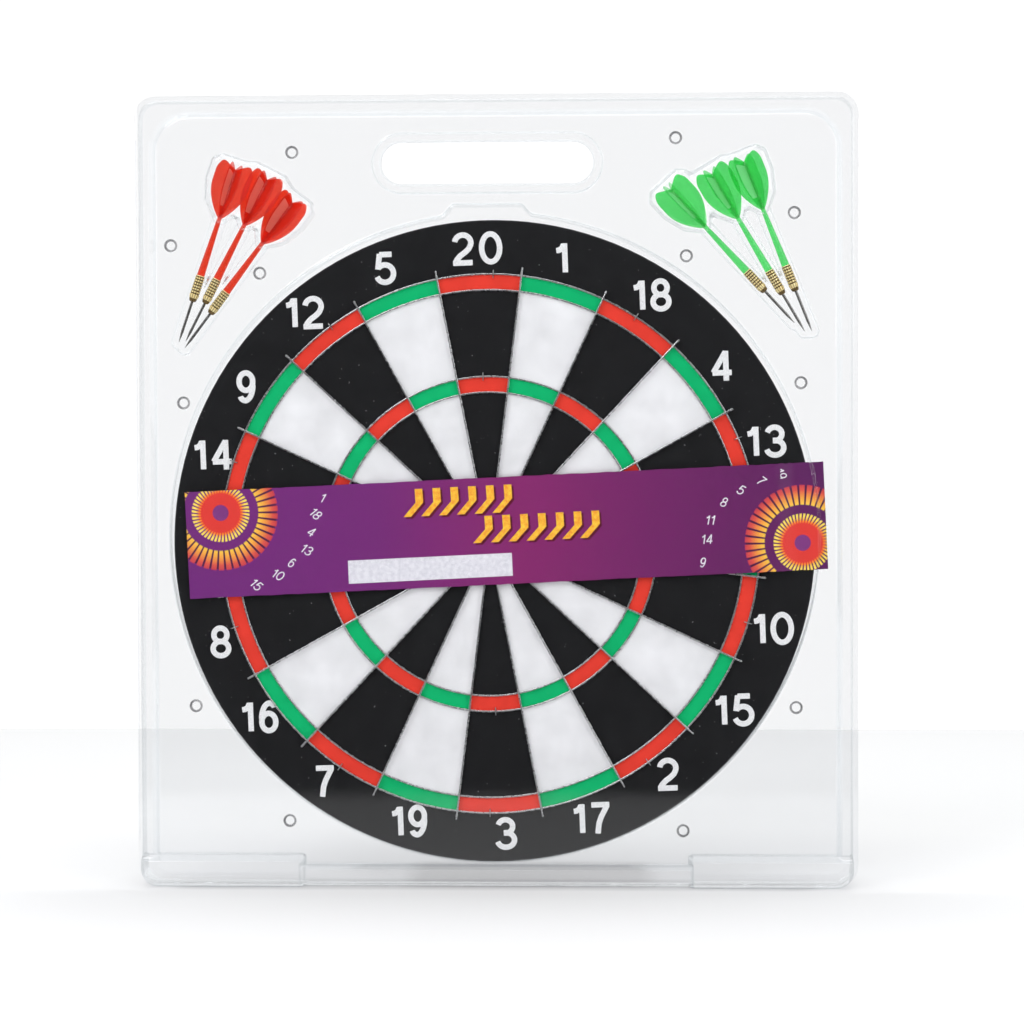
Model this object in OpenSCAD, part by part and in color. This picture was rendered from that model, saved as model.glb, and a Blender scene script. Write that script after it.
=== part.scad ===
/* [Pack] */
// Width of the clear pack over its edge flanges
pack_w = 486; // [480:1:496]
// Height of the clear pack, standing on its base
pack_h = 532; // [526:1:540]
// Thickness of the formed plastic sheet
sheet_t = 0.6; // [0.5:0.1:0.8]
// Gap between the two flat webs where the halves meet
web_gap = 0.8; // [0.8:0.1:1.2]
// Width of the flat flange outside the raised border
flange_w = 3.6; // [3:0.2:5]
// Depth of the raised border, from the parting plane
border_d = 8.6; // [6:0.2:10]
// Depth of the four feet, from the parting plane
foot_d = 16; // [15:0.5:20]
// Height of the feet
foot_h = 18; // [14:1:22]
// Height of the bottom rail between the feet
rail_h = 9; // [7:1:12]
// Half of the distance between the left and right feet
foot_gap = 131; // [110:1:150]

/* [Recesses] */
// Inner radius of the round recess for the board
recess_r = 218.6; // [218:0.2:220]
// Depth of the recess in the front half, from the parting plane
recess_front_d = 4.2; // [4.2:0.1:6]
// Depth of the recess in the rear half, from the parting plane
recess_rear_d = 14.7; // [14.7:0.1:15.8]
// Depth of the pockets over the dart flights, in each half
flight_pocket_d = 15.2; // [15:0.1:15.8]
// Depth of the pockets over the barrels and points, in each half
barrel_pocket_d = 5.4; // [5.2:0.1:8]
// Room between a dart and the edge of its pocket
pocket_room = 3; // [2:0.2:3.4]

/* [Handle] */
// Centre of the handle slot from the pack's middle
handle_x = -5; // [-10:1:10]
// Height of the handle slot's centre above the base
handle_z = 486; // [484:1:487]
// Length of the handle slot
slot_l = 142; // [120:1:146]
// Width of the handle slot
slot_w = 27.5; // [24:0.5:29]
// Width of the raised rim round the slot
rim_w = 7; // [5:0.5:7.5]
// Depth of the raised rim, from the parting plane
rim_d = 5; // [3:0.2:8]

/* [Board] */
// Radius of the board
board_r = 216; // [215:0.2:216.2]
// Height of the board's centre above the base
board_z = 231.8; // [230:0.2:232]
// Sideways place of the board's centre
board_x = -1.6; // [-3:0.2:3]
// Total thickness of the board
board_t = 11.7; // [10:0.1:12]
// Thickness of the flocked face sheet and of the back sheet
skin_t = 0.6; // [0.4:0.1:1]
// Thickness of the band round the edge
band_t = 0.8; // [0.5:0.1:1]

/* [Spider] */
// Sideways place of the bull from the board's centre
bull_dx = -2.7; // [-4:0.1:4]
// Height of the bull from the board's centre
bull_dz = -1.7; // [-4:0.1:4]
// Turn of the scoring pattern about the bull
spider_turn = -2; // [-5:0.5:5]
// Radius of the outer wire of the double ring
double_r = 181.5; // [178:0.1:182]
// Radius of the outer wire of the triple ring
triple_r = 112.8; // [110:0.1:116]
// Width of the double and triple rings
ring_w = 10.6; // [9:0.1:12]
// Radius of the outer bull wire
bull_outer_r = 17; // [15:0.1:20]
// Radius of the inner bull wire
bull_inner_r = 6.8; // [6:0.1:8]
// Radius at which the radial wires end
radial_end_r = 187.3; // [185:0.1:190]
// Diameter of the ring wires
ring_wire_d = 1.4; // [1:0.1:1.4]
// Diameter of the radial wires
radial_wire_d = 1.5; // [1:0.1:1.5]

/* [Label] */
// Length of the printed card band
label_l = 430; // [400:1:432]
// Height of the printed card band
label_h = 72; // [60:1:80]
// Tilt of the band, right end up
label_tilt = 2.63; // [0:0.01:4]
// Sideways place of the band's centre
label_x = 6.5; // [0:0.1:7]
// Height of the band's centre above the base
label_z = 239.4; // [225:0.1:245]

/* [Darts] */
// Length of a dart from point to flight
dart_l = 127; // [120:1:128]
// Length of the bare steel point
point_l = 28.6; // [24:0.1:32]
// Diameter of the steel point
point_d = 1.9; // [1.6:0.1:2.2]
// Length of the barrel
barrel_l = 18.4; // [16:0.1:24]
// Diameter of the barrel
barrel_d = 6.4; // [6:0.1:6.8]
// Length of the four-vaned flight
flight_l = 39.5; // [34:0.1:42]
// Reach of a vane from the dart's axis
vane_w = 13.5; // [10:0.1:14]
// Roll of the darts about their own axes, so that the vanes nest
dart_roll = 20; // [16:1:30]

/* [Hidden] */
$fn = 96;
half_w = pack_w / 2;
web_y = web_gap / 2;
corner_r = 14;
border_corner_r = 12;
panel_corner_top_r = 22;
panel_corner_foot_r = 8;
panel_inset = 11.8;
recess_z = board_z - board_r + recess_r;
stroke_blend = 0.02;

// Trapezoid finger notch at the top of the round recess
notch_x = -5.3;
notch_top_z = 458.5;
notch_half_top = 22;
notch_half_foot = 27;
notch_round = 3;

// Fold that joins the two halves along the left side
fold_r = web_y + sheet_t;
fold_wall = 0.45;
fold_z0 = 30;
fold_z1 = pack_h - 30;
hinge_x = -half_w + fold_r;
hinge_room = fold_r + 0.4;

// Press buttons that hold the halves shut: [x, z]
snaps = [
    [-136.7, 494], [-219, 431.8], [-158.8, 413], [-210.9, 325.8], [-203.5, 120.8], [-140.1, 43],
    [125.7, 36.8], [201.6, 120], [204.8, 338], [200.4, 451.7], [121.2, 502.1], [128.3, 423.2]
];
stud_r = 3.3;
stud_reach = 2.6;
cup_r = 4.4;
cup_reach = 4;

// Board, from its face at the front to its back sheet
face_y = 0.5;
back_y = face_y + board_t;
core_r = board_r - band_t;
bull_x = board_x + bull_dx;
bull_z = board_z + bull_dz;
segment_turn = 360 / 20;
wire_gap = 0.05;
ring_y = face_y - ring_wire_d / 2;
radial_y = face_y - ring_wire_d - wire_gap - radial_wire_d / 2;

// Staples over the outer double wire and the outer triple wire, clockwise from the top
double_staples = [3, 35, 69, 109, 146, 182, 216, 254, 290, 326];
triple_staples = [0, 180];
staple_l = 5;
staple_w = 0.9;
staple_t = 0.7;
staple_leg = 6;
crown_y = face_y - ring_wire_d - wire_gap;

// Hanger at the top of the board's back
hanger_drop = 24;
hanger_l = 40;
hanger_h = 16;
hanger_t = 1;
tack_dx = 14;
tack_head_r = 3;
tack_head_t = 0.6;
tack_shank_r = 0.9;
tack_l = 8;

// Label: flat over the wires, then down to the parting plane and out between the webs
label_t = 0.35;
label_y = radial_y - radial_wire_d / 2 - 0.15;
label_slope_u0 = 181;
label_slope_u1 = 197;
label_tail_y = 0.3;

// Darts: [point tip x, point tip z, lean to the right in degrees]
red_darts = [[-213.6, 366.9, 18.6], [-209, 367.3, 27.2], [-209.6, 362.9, 37]];
green_darts = [[200.4, 378, -42.7], [207.2, 372.4, -30.4], [212, 372.6, -21.8]];
tip_taper = 7;
point_seat = 8;
barrel_nose_r = 2.1;
barrel_nose_l = 4;
barrel_grooves = 7;
groove_w = 0.7;
groove_d = 0.35;
stub_l = 6;
stub_r = 2;
shaft_r0 = 2.7;
shaft_r1 = 1.5;
shaft_l = dart_l - point_l - barrel_l - flight_l;
vane_t = 0.5;
vane_rise = 0.6;
vane_notch = 5.5;

// ---- helpers ------------------------------------------------------------

// A front-view outline (x, z) given thickness between two depths
module slab(y0, y1) {
    translate([0, y1, 0]) rotate([90, 0, 0]) linear_extrude(y1 - y0) children();
}

// A cylinder along Y
module disc(x, z, r, y0, y1) {
    translate([x, y1, z]) rotate([90, 0, 0]) cylinder(r = r, h = y1 - y0);
}

// Rectangle with one radius for both top corners and one for both bottom corners
module rounded_panel(x0, x1, z0, z1, r_top, r_foot) {
    translate([x0, z0 + r_foot]) square([x1 - x0, z1 - z0 - r_top - r_foot]);
    translate([x0 + r_foot, z0]) square([x1 - x0 - 2 * r_foot, r_foot + 1]);
    translate([x0 + r_top, z1 - r_top - 1]) square([x1 - x0 - 2 * r_top, r_top + 1]);
    for (x = [x0 + r_foot, x1 - r_foot]) translate([x, z0 + r_foot]) circle(r_foot);
    for (x = [x0 + r_top, x1 - r_top]) translate([x, z1 - r_top]) circle(r_top);
}

// A straight stroke with round ends, a hair wider than its middle so that the edges cross cleanly
module stroke(p, q, r) {
    d = q - p;
    w = r - stroke_blend;
    translate(p) rotate(atan2(d[1], d[0])) translate([0, -w]) square([norm(d), 2 * w]);
    translate(p) circle(r);
    translate(q) circle(r);
}

// A polygon grown by r on every side, with round corners
module grown_polygon(points, r) {
    polygon(points);
    for (i = [0 : len(points) - 1]) stroke(points[i], points[(i + 1) % len(points)], r);
}

module slot_outline(r) {
    reach = (slot_l - slot_w) / 2;
    stroke([handle_x - reach, handle_z], [handle_x + reach, handle_z], r);
}

// ---- outlines of the pack, grown by g -----------------------------------

module border_outline(g) {
    x = half_w - flange_w + g;
    rounded_panel(-x, x, -g, pack_h - flange_w + g, border_corner_r + g, border_corner_r + g);
}

// The flat field inside the raised border, with a step up over each foot
module panel_outline(g) {
    x = half_w - panel_inset + g;
    rounded_panel(-x, x, foot_h - g, pack_h - panel_inset + g,
                  panel_corner_top_r + g, panel_corner_foot_r + g);
    translate([-foot_gap - g, rail_h - g]) square([2 * (foot_gap + g), 2 * foot_h]);
}

module foot_outline(side, g) {
    intersection() {
        border_outline(g);
        scale([side, 1]) translate([foot_gap - g, -1]) square([half_w, foot_h + 1 + g]);
    }
}

module recess_outline(g) {
    translate([board_x, recess_z]) circle(recess_r + g, $fn = 180);
    low = recess_z + recess_r - 20;
    grown_polygon([
        [notch_x - notch_half_foot - 8, low], [notch_x - notch_half_foot, notch_top_z - 9],
        [notch_x - notch_half_top, notch_top_z - notch_round],
        [notch_x + notch_half_top, notch_top_z - notch_round],
        [notch_x + notch_half_foot, notch_top_z - 9], [notch_x + notch_half_foot + 8, low]
    ], notch_round + g);
}

// Pocket over the points, barrels and shafts of one set of darts
module barrel_pocket_outline(darts, g) {
    for (d = darts) translate([d[0], d[1]]) rotate(-d[2])
        stroke([0, 0], [0, dart_l - flight_l], barrel_d / 2 + pocket_room - 1 + g);
}

// Pocket over the flights of one set of darts
module flight_pocket_outline(darts, g) {
    start = dart_l - flight_l;
    full = start + vane_rise * flight_l;
    for (d = darts) translate([d[0], d[1]]) rotate(-d[2])
        grown_polygon([[0, start], [vane_w, full], [vane_w, dart_l], [-vane_w, dart_l], [-vane_w, full]],
                      pocket_room + g);
}

// ---- the two halves of the pack -----------------------------------------

// Every raised volume of one half, in front of the parting plane; g is 0 for the
// outside of the sheet and -sheet_t for its inside
module raised_volumes(g, recess_d, y_back) {
    slab(-border_d - g, y_back) difference() {
        border_outline(g);
        panel_outline(-g);
    }
    for (side = [-1, 1]) slab(-foot_d - g, y_back) foot_outline(side, g);
    slab(-recess_d - g, y_back) recess_outline(sheet_t + g);
    for (darts = [red_darts, green_darts]) {
        slab(-barrel_pocket_d - g, y_back) barrel_pocket_outline(darts, g);
        slab(-flight_pocket_d - g, y_back) flight_pocket_outline(darts, g);
    }
    slab(-rim_d - g, y_back) difference() {
        slot_outline(slot_w / 2 + rim_w + g);
        slot_outline(slot_w / 2 - g);
    }
}

// One half of the pack, bulging towards -Y from its web
module half_shell(recess_d) {
    difference() {
        union() {
            slab(-web_y - sheet_t, -web_y)
                rounded_panel(-half_w, half_w, 0, pack_h, corner_r, corner_r);
            raised_volumes(0, recess_d, -web_y);
        }
        raised_volumes(-sheet_t, recess_d, 1);
        slab(-rim_d - 1, 1) slot_outline(slot_w / 2);
    }
}

module front_shell() {
    color([0.86, 0.9, 0.93, 0.35]) difference() {
        union() {
            half_shell(recess_front_d);
            for (s = snaps) disc(s[0], s[1], stud_r, -web_y - sheet_t, stud_reach);
        }
        for (s = snaps) disc(s[0], s[1], stud_r - sheet_t, -web_y - 1, stud_reach - sheet_t);
        translate([-half_w - 1, -foot_d, -1]) cube([1 + fold_r + hinge_room, foot_d + 1, pack_h + 2]);
    }
}

module rear_shell() {
    color([0.8, 0.85, 0.9, 0.35]) difference() {
        union() {
            mirror([0, 1, 0]) half_shell(recess_rear_d);
            for (s = snaps) disc(s[0], s[1], cup_r, web_y, cup_reach);
        }
        for (s = snaps) disc(s[0], s[1], cup_r - sheet_t, -1, cup_reach - sheet_t);
        translate([-half_w - 1, 0, fold_z0]) cube([1 + fold_r, foot_d, fold_z1 - fold_z0]);
    }
}

// Half-round living hinge; the front half turns about its centre line
module hinge_fold() {
    color([0.75, 0.8, 0.86, 0.6]) difference() {
        translate([hinge_x, 0, fold_z0]) cylinder(r = fold_r, h = fold_z1 - fold_z0);
        translate([hinge_x, 0, fold_z0 - 1]) cylinder(r = fold_r - fold_wall, h = fold_z1 - fold_z0 + 2);
        translate([hinge_x, -2, fold_z0 - 1]) cube([2, 4, fold_z1 - fold_z0 + 2]);
    }
}

// ---- the board ----------------------------------------------------------

// Disc of tightly wound paper
module board_core() {
    color("burlywood") disc(board_x, board_z, core_r, face_y + skin_t, back_y - skin_t, $fn = 180);
}

module board_face() {
    color([0.14, 0.14, 0.15]) disc(board_x, board_z, core_r, face_y, face_y + skin_t, $fn = 180);
}

module board_back() {
    color([0.2, 0.2, 0.21]) disc(board_x, board_z, core_r, back_y - skin_t, back_y, $fn = 180);
}

module rim_band() {
    color([0.1, 0.1, 0.11]) difference() {
        disc(board_x, board_z, board_r, face_y, back_y, $fn = 180);
        disc(board_x, board_z, core_r, face_y - 1, back_y + 1, $fn = 180);
    }
}

// ---- the wire spider ----------------------------------------------------

// Places its children about the bull, turned clockwise by a
module round_bull(a) {
    translate([bull_x, 0, bull_z]) rotate([0, a + spider_turn, 0]) children();
}

module ring_wire(r) {
    color("silver") translate([bull_x, ring_y, bull_z]) rotate([90, 0, 0])
        rotate_extrude($fn = 180) translate([r, 0]) circle(ring_wire_d / 2, $fn = 24);
}

// Twenty separate wires, halfway between the numbers, lying on the rings
module radial_wires() {
    color("silver") for (i = [0 : 19]) round_bull((i + 0.5) * segment_turn)
        translate([0, radial_y, bull_outer_r])
            cylinder(d = radial_wire_d, h = radial_end_r - bull_outer_r, $fn = 24);
}

// A wire staple that straddles a ring, its legs driven into the board
module staple() {
    translate([-staple_w / 2, crown_y - staple_t, -staple_l / 2])
        cube([staple_w, staple_t, staple_l]);
    for (z = [-staple_l / 2, staple_l / 2 - staple_w])
        translate([-staple_w / 2, crown_y - staple_t, z])
            cube([staple_w, staple_t + staple_leg, staple_w]);
}

module wire_staples() {
    color("gainsboro") {
        for (a = double_staples) round_bull(a) translate([0, 0, double_r]) staple();
        for (a = triple_staples) round_bull(a) translate([0, 0, triple_r]) staple();
    }
}

// ---- the hanger on the board's back -------------------------------------

module hanger_plate() {
    z = board_z + board_r - hanger_drop;
    color("silver") difference() {
        slab(back_y, back_y + hanger_t) translate([board_x, z]) difference() {
            translate([-hanger_l / 2, -hanger_h / 2]) square([hanger_l, hanger_h]);
            translate([0, -2]) circle(4);
            translate([-1.75, -2]) square([3.5, 7]);
            for (x = [-tack_dx, tack_dx]) translate([x, 0]) circle(tack_shank_r + 0.1, $fn = 24);
        }
    }
}

module hanger_tacks() {
    z = board_z + board_r - hanger_drop;
    y = back_y + hanger_t;
    color("dimgray") for (x = [board_x - tack_dx, board_x + tack_dx]) {
        disc(x, z, tack_head_r, y, y + tack_head_t, $fn = 32);
        disc(x, z, tack_shank_r, y - tack_l, y + tack_head_t / 2, $fn = 24);
    }
}

// ---- the printed card band ----------------------------------------------

module label_band() {
    u = label_l / 2;
    color([0.47, 0.18, 0.48]) translate([label_x, 0, label_z]) rotate([0, -label_tilt, 0])
        translate([0, 0, -label_h / 2]) linear_extrude(label_h) polygon([
            [-u, label_y], [label_slope_u0, label_y], [label_slope_u1, label_tail_y], [u, label_tail_y],
            [u, label_tail_y - label_t], [label_slope_u1, label_tail_y - label_t],
            [label_slope_u0, label_y - label_t], [-u, label_y - label_t]
        ]);
}

// ---- the darts ----------------------------------------------------------

// Places a dart drawn with its point at the origin and its axis along +Z
module place_dart(d) {
    translate([d[0], 0, d[1]]) rotate([0, d[2], 0]) rotate([0, 0, dart_roll]) children();
}

module dart_point(d) {
    color("silver") place_dart(d) {
        cylinder(r1 = 0.15, r2 = point_d / 2, h = tip_taper, $fn = 24);
        translate([0, 0, tip_taper]) cylinder(d = point_d, h = point_l + point_seat - tip_taper, $fn = 24);
    }
}

// Brass barrel with a tapered nose and turned grip grooves
module dart_barrel(d) {
    r = barrel_d / 2;
    grip = barrel_l - barrel_nose_l - 2;
    color("goldenrod") place_dart(d) translate([0, 0, point_l]) difference() {
        union() {
            cylinder(r1 = barrel_nose_r, r2 = r, h = barrel_nose_l, $fn = 48);
            translate([0, 0, barrel_nose_l]) cylinder(r = r, h = barrel_l - barrel_nose_l, $fn = 48);
        }
        translate([0, 0, -1]) cylinder(d = point_d, h = point_seat + 1, $fn = 24);
        translate([0, 0, barrel_l - stub_l]) cylinder(r = stub_r, h = stub_l + 1, $fn = 32);
        for (i = [0 : barrel_grooves - 1])
            translate([0, 0, barrel_nose_l + (i + 0.5) * grip / barrel_grooves])
                difference() {
                    cylinder(r = r + 1, h = groove_w, $fn = 48);
                    cylinder(r = r - groove_d, h = groove_w, $fn = 48);
                }
    }
}

// Outline of one vane: a curved leading edge, a straight side and a notched rear edge
function vane_points(l, w) = concat(
    [[0, 0]],
    [for (i = [0 : 6]) [shaft_r1 + (w - shaft_r1) * sin(15 * i), vane_rise * l * i / 6]],
    [[w, l - 2], [w - 2, l], [0, l - vane_notch]]
);

// One-piece shaft and flight, with a stub that screws into the barrel
module dart_flight(d, tint) {
    color(tint) place_dart(d) translate([0, 0, point_l + barrel_l]) {
        translate([0, 0, -stub_l]) cylinder(r = stub_r, h = stub_l + 1, $fn = 32);
        cylinder(r1 = shaft_r0, r2 = shaft_r1, h = shaft_l, $fn = 32);
        translate([0, 0, shaft_l]) {
            cylinder(r = shaft_r1, h = flight_l - vane_notch, $fn = 32);
            for (a = [0 : 90 : 270]) rotate([90, 0, a]) translate([0, 0, -vane_t / 2])
                linear_extrude(vane_t) polygon(vane_points(flight_l, vane_w));
        }
    }
}

red_tint = [0.87, 0.22, 0.18, 0.85];
green_tint = [0.05, 0.62, 0.4, 0.85];

front_shell();
rear_shell();
hinge_fold();
board_core();
board_face();
board_back();
rim_band();
ring_wire(double_r);  // double_outer_wire
ring_wire(double_r - ring_w);  // double_inner_wire
ring_wire(triple_r);  // triple_outer_wire
ring_wire(triple_r - ring_w);  // triple_inner_wire
ring_wire(bull_outer_r);  // bull_outer_wire
ring_wire(bull_inner_r);  // bull_inner_wire
radial_wires();
wire_staples();
hanger_plate();
hanger_tacks();
label_band();
dart_point(red_darts[0]);  // dart_red_1_point
dart_barrel(red_darts[0]);  // dart_red_1_barrel
dart_flight(red_darts[0], red_tint);  // dart_red_1_flight
dart_point(red_darts[1]);  // dart_red_2_point
dart_barrel(red_darts[1]);  // dart_red_2_barrel
dart_flight(red_darts[1], red_tint);  // dart_red_2_flight
dart_point(red_darts[2]);  // dart_red_3_point
dart_barrel(red_darts[2]);  // dart_red_3_barrel
dart_flight(red_darts[2], red_tint);  // dart_red_3_flight
dart_point(green_darts[0]);  // dart_green_1_point
dart_barrel(green_darts[0]);  // dart_green_1_barrel
dart_flight(green_darts[0], green_tint);  // dart_green_1_flight
dart_point(green_darts[1]);  // dart_green_2_point
dart_barrel(green_darts[1]);  // dart_green_2_barrel
dart_flight(green_darts[1], green_tint);  // dart_green_2_flight
dart_point(green_darts[2]);  // dart_green_3_point
dart_barrel(green_darts[2]);  // dart_green_3_barrel
dart_flight(green_darts[2], green_tint);  // dart_green_3_flight
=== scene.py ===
import math

import bpy
import numpy as np
from mathutils import Matrix, Vector
from mathutils.geometry import delaunay_2d_cdt

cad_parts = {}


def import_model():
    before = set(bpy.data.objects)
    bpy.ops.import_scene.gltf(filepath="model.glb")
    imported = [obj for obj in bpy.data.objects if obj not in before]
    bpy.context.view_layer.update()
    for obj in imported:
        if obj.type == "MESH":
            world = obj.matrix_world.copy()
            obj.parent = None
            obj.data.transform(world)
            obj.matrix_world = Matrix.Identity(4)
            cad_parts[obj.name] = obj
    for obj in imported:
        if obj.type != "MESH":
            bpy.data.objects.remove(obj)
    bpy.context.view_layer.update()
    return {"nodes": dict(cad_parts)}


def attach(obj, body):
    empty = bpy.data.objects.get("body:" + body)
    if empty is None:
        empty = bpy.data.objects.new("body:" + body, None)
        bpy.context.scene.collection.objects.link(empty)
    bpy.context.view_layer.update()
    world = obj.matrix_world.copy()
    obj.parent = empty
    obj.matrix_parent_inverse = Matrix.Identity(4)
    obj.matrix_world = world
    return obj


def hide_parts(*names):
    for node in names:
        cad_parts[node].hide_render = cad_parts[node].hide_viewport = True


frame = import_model()
CAD_NODES = frame["nodes"]

# Everything below is drawn in millimetres and becomes metres where a mesh is made.
MM = 0.001

# ---- measures shared with the CAD source --------------------------------------------

HALF_W, PACK_H, CORNER_R = 243.0, 532.0, 14.0
SHEET_T, WEB_FACE = 0.6, 1.0
FLANGE_W, BORDER_R = 3.6, 12.0
BORDER_D, FOOT_D = 8.6, 16.0
FOLD_X, FOLD_Z0, FOLD_Z1 = -242.0, 30.0, 502.0
LID_LEFT = -240.6
RECESS = (-1.6, 234.4, 218.8)
RECESS_FRONT_D, RECESS_REAR_D = 4.2, 14.7
FLIGHT_POCKET_D, BARREL_POCKET_D = 15.2, 5.4
HANDLE, HANDLE_REACH, HANDLE_HALF, RIM_W, RIM_D = (-5.0, 486.0), 57.25, 13.75, 7.0, 5.0
SNAPS = [(-136.7, 494), (-219, 431.8), (-158.8, 413), (-210.9, 325.8), (-203.5, 120.8), (-140.1, 43),
         (125.7, 36.8), (201.6, 120), (204.8, 338), (200.4, 451.7), (121.2, 502.1), (128.3, 423.2)]

BOARD, BOARD_CORE_R = (-1.6, 231.8), 215.2
FACE_Y, SKIN_T = 0.5, 0.6
BULL, SPIDER_TURN = (-4.3, 230.1), -2.0
RING_R = {"double": 181.5, "triple": 112.8, "bull": 17.0}
RING_W, BULL_R, RADIAL_END = 10.6, 6.8, 187.3
RING_Y, RADIAL_Y, RING_WIRE_R, RADIAL_WIRE_R, STAPLE_R = -0.2, -1.7, 0.7, 0.75, 0.38
DOUBLE_STAPLES = [3, 35, 69, 109, 146, 182, 216, 254, 290, 326]
TRIPLE_STAPLES = [0, 180]
NUMBERS = [20, 1, 18, 4, 13, 6, 10, 15, 2, 17, 3, 19, 7, 16, 8, 11, 14, 9, 12, 5]
NUMBER_H, NUMBER_STROKE, NUMBER_GAP, NUMBER_RELIEF = 22.4, 3.7, 3.3, 0.12
# Where each number sits: its radius, and how far round from the middle of its segment.
NUMBER_R = [198.9, 197.7, 199.3, 196.6, 197.8, 197.5, 198.6, 198.6, 196, 197.5,
            195.7, 195.3, 195.7, 195.3, 193.8, 195, 196.5, 195.4, 199.7, 198.3]
NUMBER_TURN = [-0.2, -1.8, -0.8, 0.6, -0.3, 0, 0.7, 0.3, 0.3, -0.2,
               -1.1, 0.4, 0.8, 1.2, 0.1, 1, 1.9, -1, -0.6, -0.6]

LABEL, LABEL_TILT = (6.5, 239.4), math.radians(2.63)
LABEL_L, LABEL_H, LABEL_T = 430.0, 72.0, 0.35
LABEL_Y, LABEL_TAIL_Y, LABEL_SLOPE = -2.6, 0.3, (181.0, 197.0)

DART_L, POINT_L, BARREL_L, BARREL_R, FLIGHT_L = 127.0, 28.6, 18.4, 3.2, 39.5
SHAFT_L = DART_L - POINT_L - BARREL_L - FLIGHT_L
SHAFT_R0, SHAFT_R1, VANE_W, VANE_NOTCH = 2.7, 1.5, 13.5, 5.5
DART_ROLL = {"red": [-12, -20, -24], "green": [-18, -26, -34]}
DARTS = {"red": [(-213.6, 366.9, 18.6), (-209, 367.3, 27.2), (-209.6, 362.9, 37)],
         "green": [(200.4, 378, -42.7), (207.2, 372.4, -30.4), (212, 372.6, -21.8)]}


# ---- materials ------------------------------------------------------------------------

class Shader:
    """A new material or world whose nodes are added one line each."""

    def __init__(self, name, world=False):
        self.owner = (bpy.data.worlds if world else bpy.data.materials).new(name)
        self.owner.use_nodes = True
        self.tree = self.owner.node_tree
        self.tree.nodes.clear()
        self.output = self.add("OutputWorld" if world else "OutputMaterial")

    def add(self, kind, inputs=None, **settings):
        made = self.tree.nodes.new("ShaderNode" + kind)
        for key, value in settings.items():
            setattr(made, key, value)
        for key, value in (inputs or {}).items():
            if isinstance(value, bpy.types.NodeSocket):
                self.tree.links.new(value, made.inputs[key])
            else:
                made.inputs[key].default_value = value
        return made

    def math(self, operation, a, b=0.0, c=0.0):
        return self.add("Math", {0: a, 1: b, 2: c}, operation=operation).outputs[0]

    def blend(self, factor, a, b):
        """Colour a where factor is 0 and b where it is 1."""
        return self.add("Mix", {0: factor, 6: a, 7: b}, data_type="RGBA").outputs[2]

    def noise(self, scale, detail=3.0, roughness=0.5):
        where = self.add("TexCoord").outputs["Object"]
        return self.add("TexNoise", {"Vector": where, "Scale": scale, "Detail": detail,
                                     "Roughness": roughness}).outputs["Fac"]

    def ramp(self, factor, stops):
        made = self.add("ValToRGB", {0: factor})
        elements = made.color_ramp.elements
        while len(elements) < len(stops):
            elements.new(0.5)
        for element, (position, value) in zip(elements, stops):
            element.position = position
            element.color = value if isinstance(value, tuple) else (value, value, value, 1)
        return made.outputs[0]

    def multiply(self, a, b):
        """One colour times another."""
        return self.add("Mix", {0: 1.0, 6: a, 7: b}, data_type="RGBA", blend_type="MULTIPLY").outputs[2]

    def bump(self, height, strength, distance_mm):
        return self.add("Bump", {"Height": height, "Strength": strength,
                                 "Distance": distance_mm * MM}).outputs[0]

    def mix(self, factor, first, second):
        """One shader blended into another."""
        return self.add("MixShader", {0: factor, 1: first, 2: second}).outputs[0]

    def finish(self, surface):
        self.tree.links.new(surface, self.output.inputs["Surface"])
        return self.owner

    def principled(self, colour, roughness, normal, **more):
        inputs = {key.replace("_", " "): value for key, value in more.items()}
        inputs.update({"Base Color": colour, "Roughness": roughness, "Normal": normal})
        return self.finish(self.add("BsdfPrincipled", inputs).outputs[0])

    def gloss(self, roughness, normal=None):
        inputs = {"Color": (1, 1, 1, 1), "Roughness": roughness}
        if normal is not None:
            inputs["Normal"] = normal
        return self.add("BsdfGlossy", inputs).outputs[0]


def srgb(r, g, b):
    """A colour read as 0 to 255 on screen, as the linear value that a shader takes."""
    def linear(v):
        v /= 255
        return v / 12.92 if v <= 0.04045 else ((v + 0.055) / 1.055) ** 2.4
    return (linear(r), linear(g), linear(b), 1)


def scaled(colour, factor):
    return tuple(c * factor for c in colour[:3]) + (1,)


def clear_plastic(name, stops):
    """Thin clear sheet: slight waves, a tint that deepens edge on, and a glancing gloss."""
    s = Shader(name)
    warp = s.noise(14, 2)
    drag = s.noise(90, 2)
    height = s.math("MULTIPLY_ADD", drag, 0.08, warp)
    normal = s.bump(height, 1.0, 0.12)
    facing = s.add("LayerWeight", {"Blend": 0.5, "Normal": normal}).outputs["Facing"]
    tint = s.ramp(facing, stops)
    through = s.add("BsdfTransparent", {"Color": tint}).outputs[0]
    share = s.math("MULTIPLY_ADD", s.math("POWER", facing, 5.0), 0.9, 0.04)
    return s.finish(s.mix(share, through, s.gloss(0.04, normal)))


# Tint stops of the clear sheet, from face on (0) to edge on (1).
SHEET_TINT = [(0.0, (0.990, 0.992, 0.995, 1)), (0.5, (0.968, 0.974, 0.979, 1)),
              (0.76, (0.92, 0.93, 0.938, 1)), (0.9, (0.70, 0.72, 0.73, 1)),
              (1.0, (0.32, 0.34, 0.355, 1))]
# A darker copy of the sheet's tint for the ring round each press button: painted shade on the button
# walls.
BUTTON_SHADE_TINT = [(0.0, (0.99, 0.99, 0.99, 1)), (0.35, (0.82, 0.82, 0.83, 1)),
               (0.7, (0.42, 0.42, 0.43, 1)), (1.0, (0.28, 0.28, 0.29, 1))]


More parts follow.
